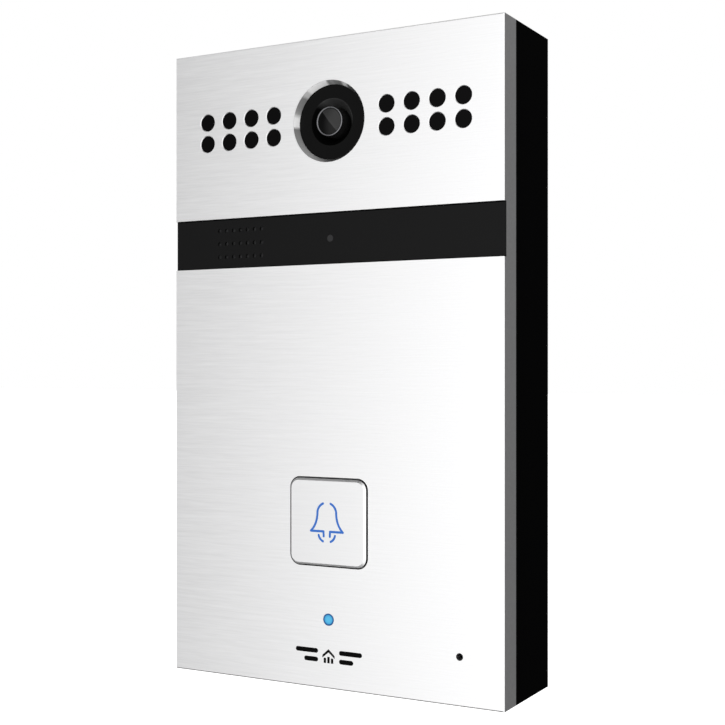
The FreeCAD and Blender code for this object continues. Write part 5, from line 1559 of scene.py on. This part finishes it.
@dataclass
class Studio:
    """A pale floor, a white surround, soft cards of light and the camera."""

    cards: tuple[SoftCard, ...] = (
        SoftCard(24.0, -3.0, 45.0, 76.0, 1.56),
        SoftCard(222.0, 28.0, 20.0, 62.0, 0.9),
    )
    fill: float = 0.17
    floor_drop: float = 40.0 * MM
    floor_side: float = 12.0
    camera_place: Point = (181.0 * MM, -342.0 * MM, -1.8 * MM)
    camera_turn: float = 28.75
    lens: float = 64.6
    shift_up: float = 0.0095

    def light(self) -> None:
        """Set the surround: white to the camera, cards over a soft fill to everything else."""
        world = bpy.data.worlds.new("studio")
        bpy.context.scene.world = world
        world.use_nodes = True
        tree = NodeTree(world.node_tree)
        where = tree.add("ShaderNodeTexCoord")
        total: Socket | float = self.fill
        for card in self.cards:
            dot = tree.add("ShaderNodeVectorMath", {"operation": "DOT_PRODUCT"},
                           Vector=where.outputs["Generated"])
            dot.inputs[1].default_value = card.direction()
            angle = tree.add("ShaderNodeMath", {"operation": "ARCCOSINE"},
                             Value=dot.outputs["Value"])
            soft = tree.add("ShaderNodeMapRange", {"interpolation_type": "SMOOTHSTEP"},
                            Value=angle.outputs["Value"], From_Min=math.radians(card.full),
                            From_Max=math.radians(card.gone), To_Min=card.strength, To_Max=0.0)
            add = tree.add("ShaderNodeMath", {"operation": "ADD"}, Value=soft.outputs["Result"])
            tree.put(total, add.inputs[1])
            total = add.outputs["Value"]
        lit = tree.add("ShaderNodeBackground", Strength=total)
        seen = tree.add("ShaderNodeBackground", Color=WHITE)
        path = tree.add("ShaderNodeLightPath")
        mix = tree.add("ShaderNodeMixShader", Fac=path.outputs["Is Camera Ray"])
        tree.put(lit.outputs["Background"], mix.inputs[1])
        tree.put(seen.outputs["Background"], mix.inputs[2])
        tree.add("ShaderNodeOutputWorld", Surface=mix.outputs["Shader"])
        bpy.context.scene.view_settings.view_transform = "Standard"

    def floor(self) -> None:
        """Lay the plain pale floor under the object."""
        low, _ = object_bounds()
        half = self.floor_side / 2
        z = low[2] - self.floor_drop
        mesh = bmesh.new()
        mesh.faces.new([mesh.verts.new((x, y, z))
                        for x, y in plain_outline(-half, half, -half, half)])
        floor = piece_from("studio_floor", mesh)
        shader = Shader("floor_white")
        tone = shader.grey_ramp(shader.noise(cube(3.0), 1.0), ((0.0, 1.0), (1.0, 1.02)))
        floor.data.materials.append(shader.sets(Emission_Color=tone, Emission_Strength=1.0,
                                                Base_Color=(0.9, 0.9, 0.9, 1.0)))
        floor.visible_diffuse = False
        floor.visible_glossy = False
        floor.visible_shadow = False
        floor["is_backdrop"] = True

    def camera(self) -> None:
        """Set the camera where a visitor stands, to the right of the panel."""
        data = bpy.data.cameras.new("visitor")
        data.sensor_width = 36.0
        data.lens = self.lens
        data.shift_y = self.shift_up
        data.clip_start = 0.01
        data.clip_end = 50.0
        camera = bpy.data.objects.new("visitor", data)
        camera.location = self.camera_place
        camera.rotation_euler = (math.pi / 2, 0.0, math.radians(self.camera_turn))
        bpy.context.scene.collection.objects.link(camera)
        bpy.context.scene.camera = camera

    def build(self) -> None:
        """Set the light, the floor and the camera."""
        self.light()
        self.floor()
        self.camera()
        LOG.info("studio ready")


def main() -> None:
    """Build every sub-assembly in order, then the studio."""
    logging.basicConfig(level=logging.INFO, format="%(name)s: %(message)s")
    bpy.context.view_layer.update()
    shop = Workshop()
    for assembly in (FrontPanel(), CameraEye(), LampBanks(), SpeakerUnit(), CallButton(),
                     MainBoard(), RearConnections(), WallSide()):
        assembly.build(shop)
        LOG.info("%s done", type(assembly).__name__)
    Studio().build()


if __name__ == "__main__":
    main()
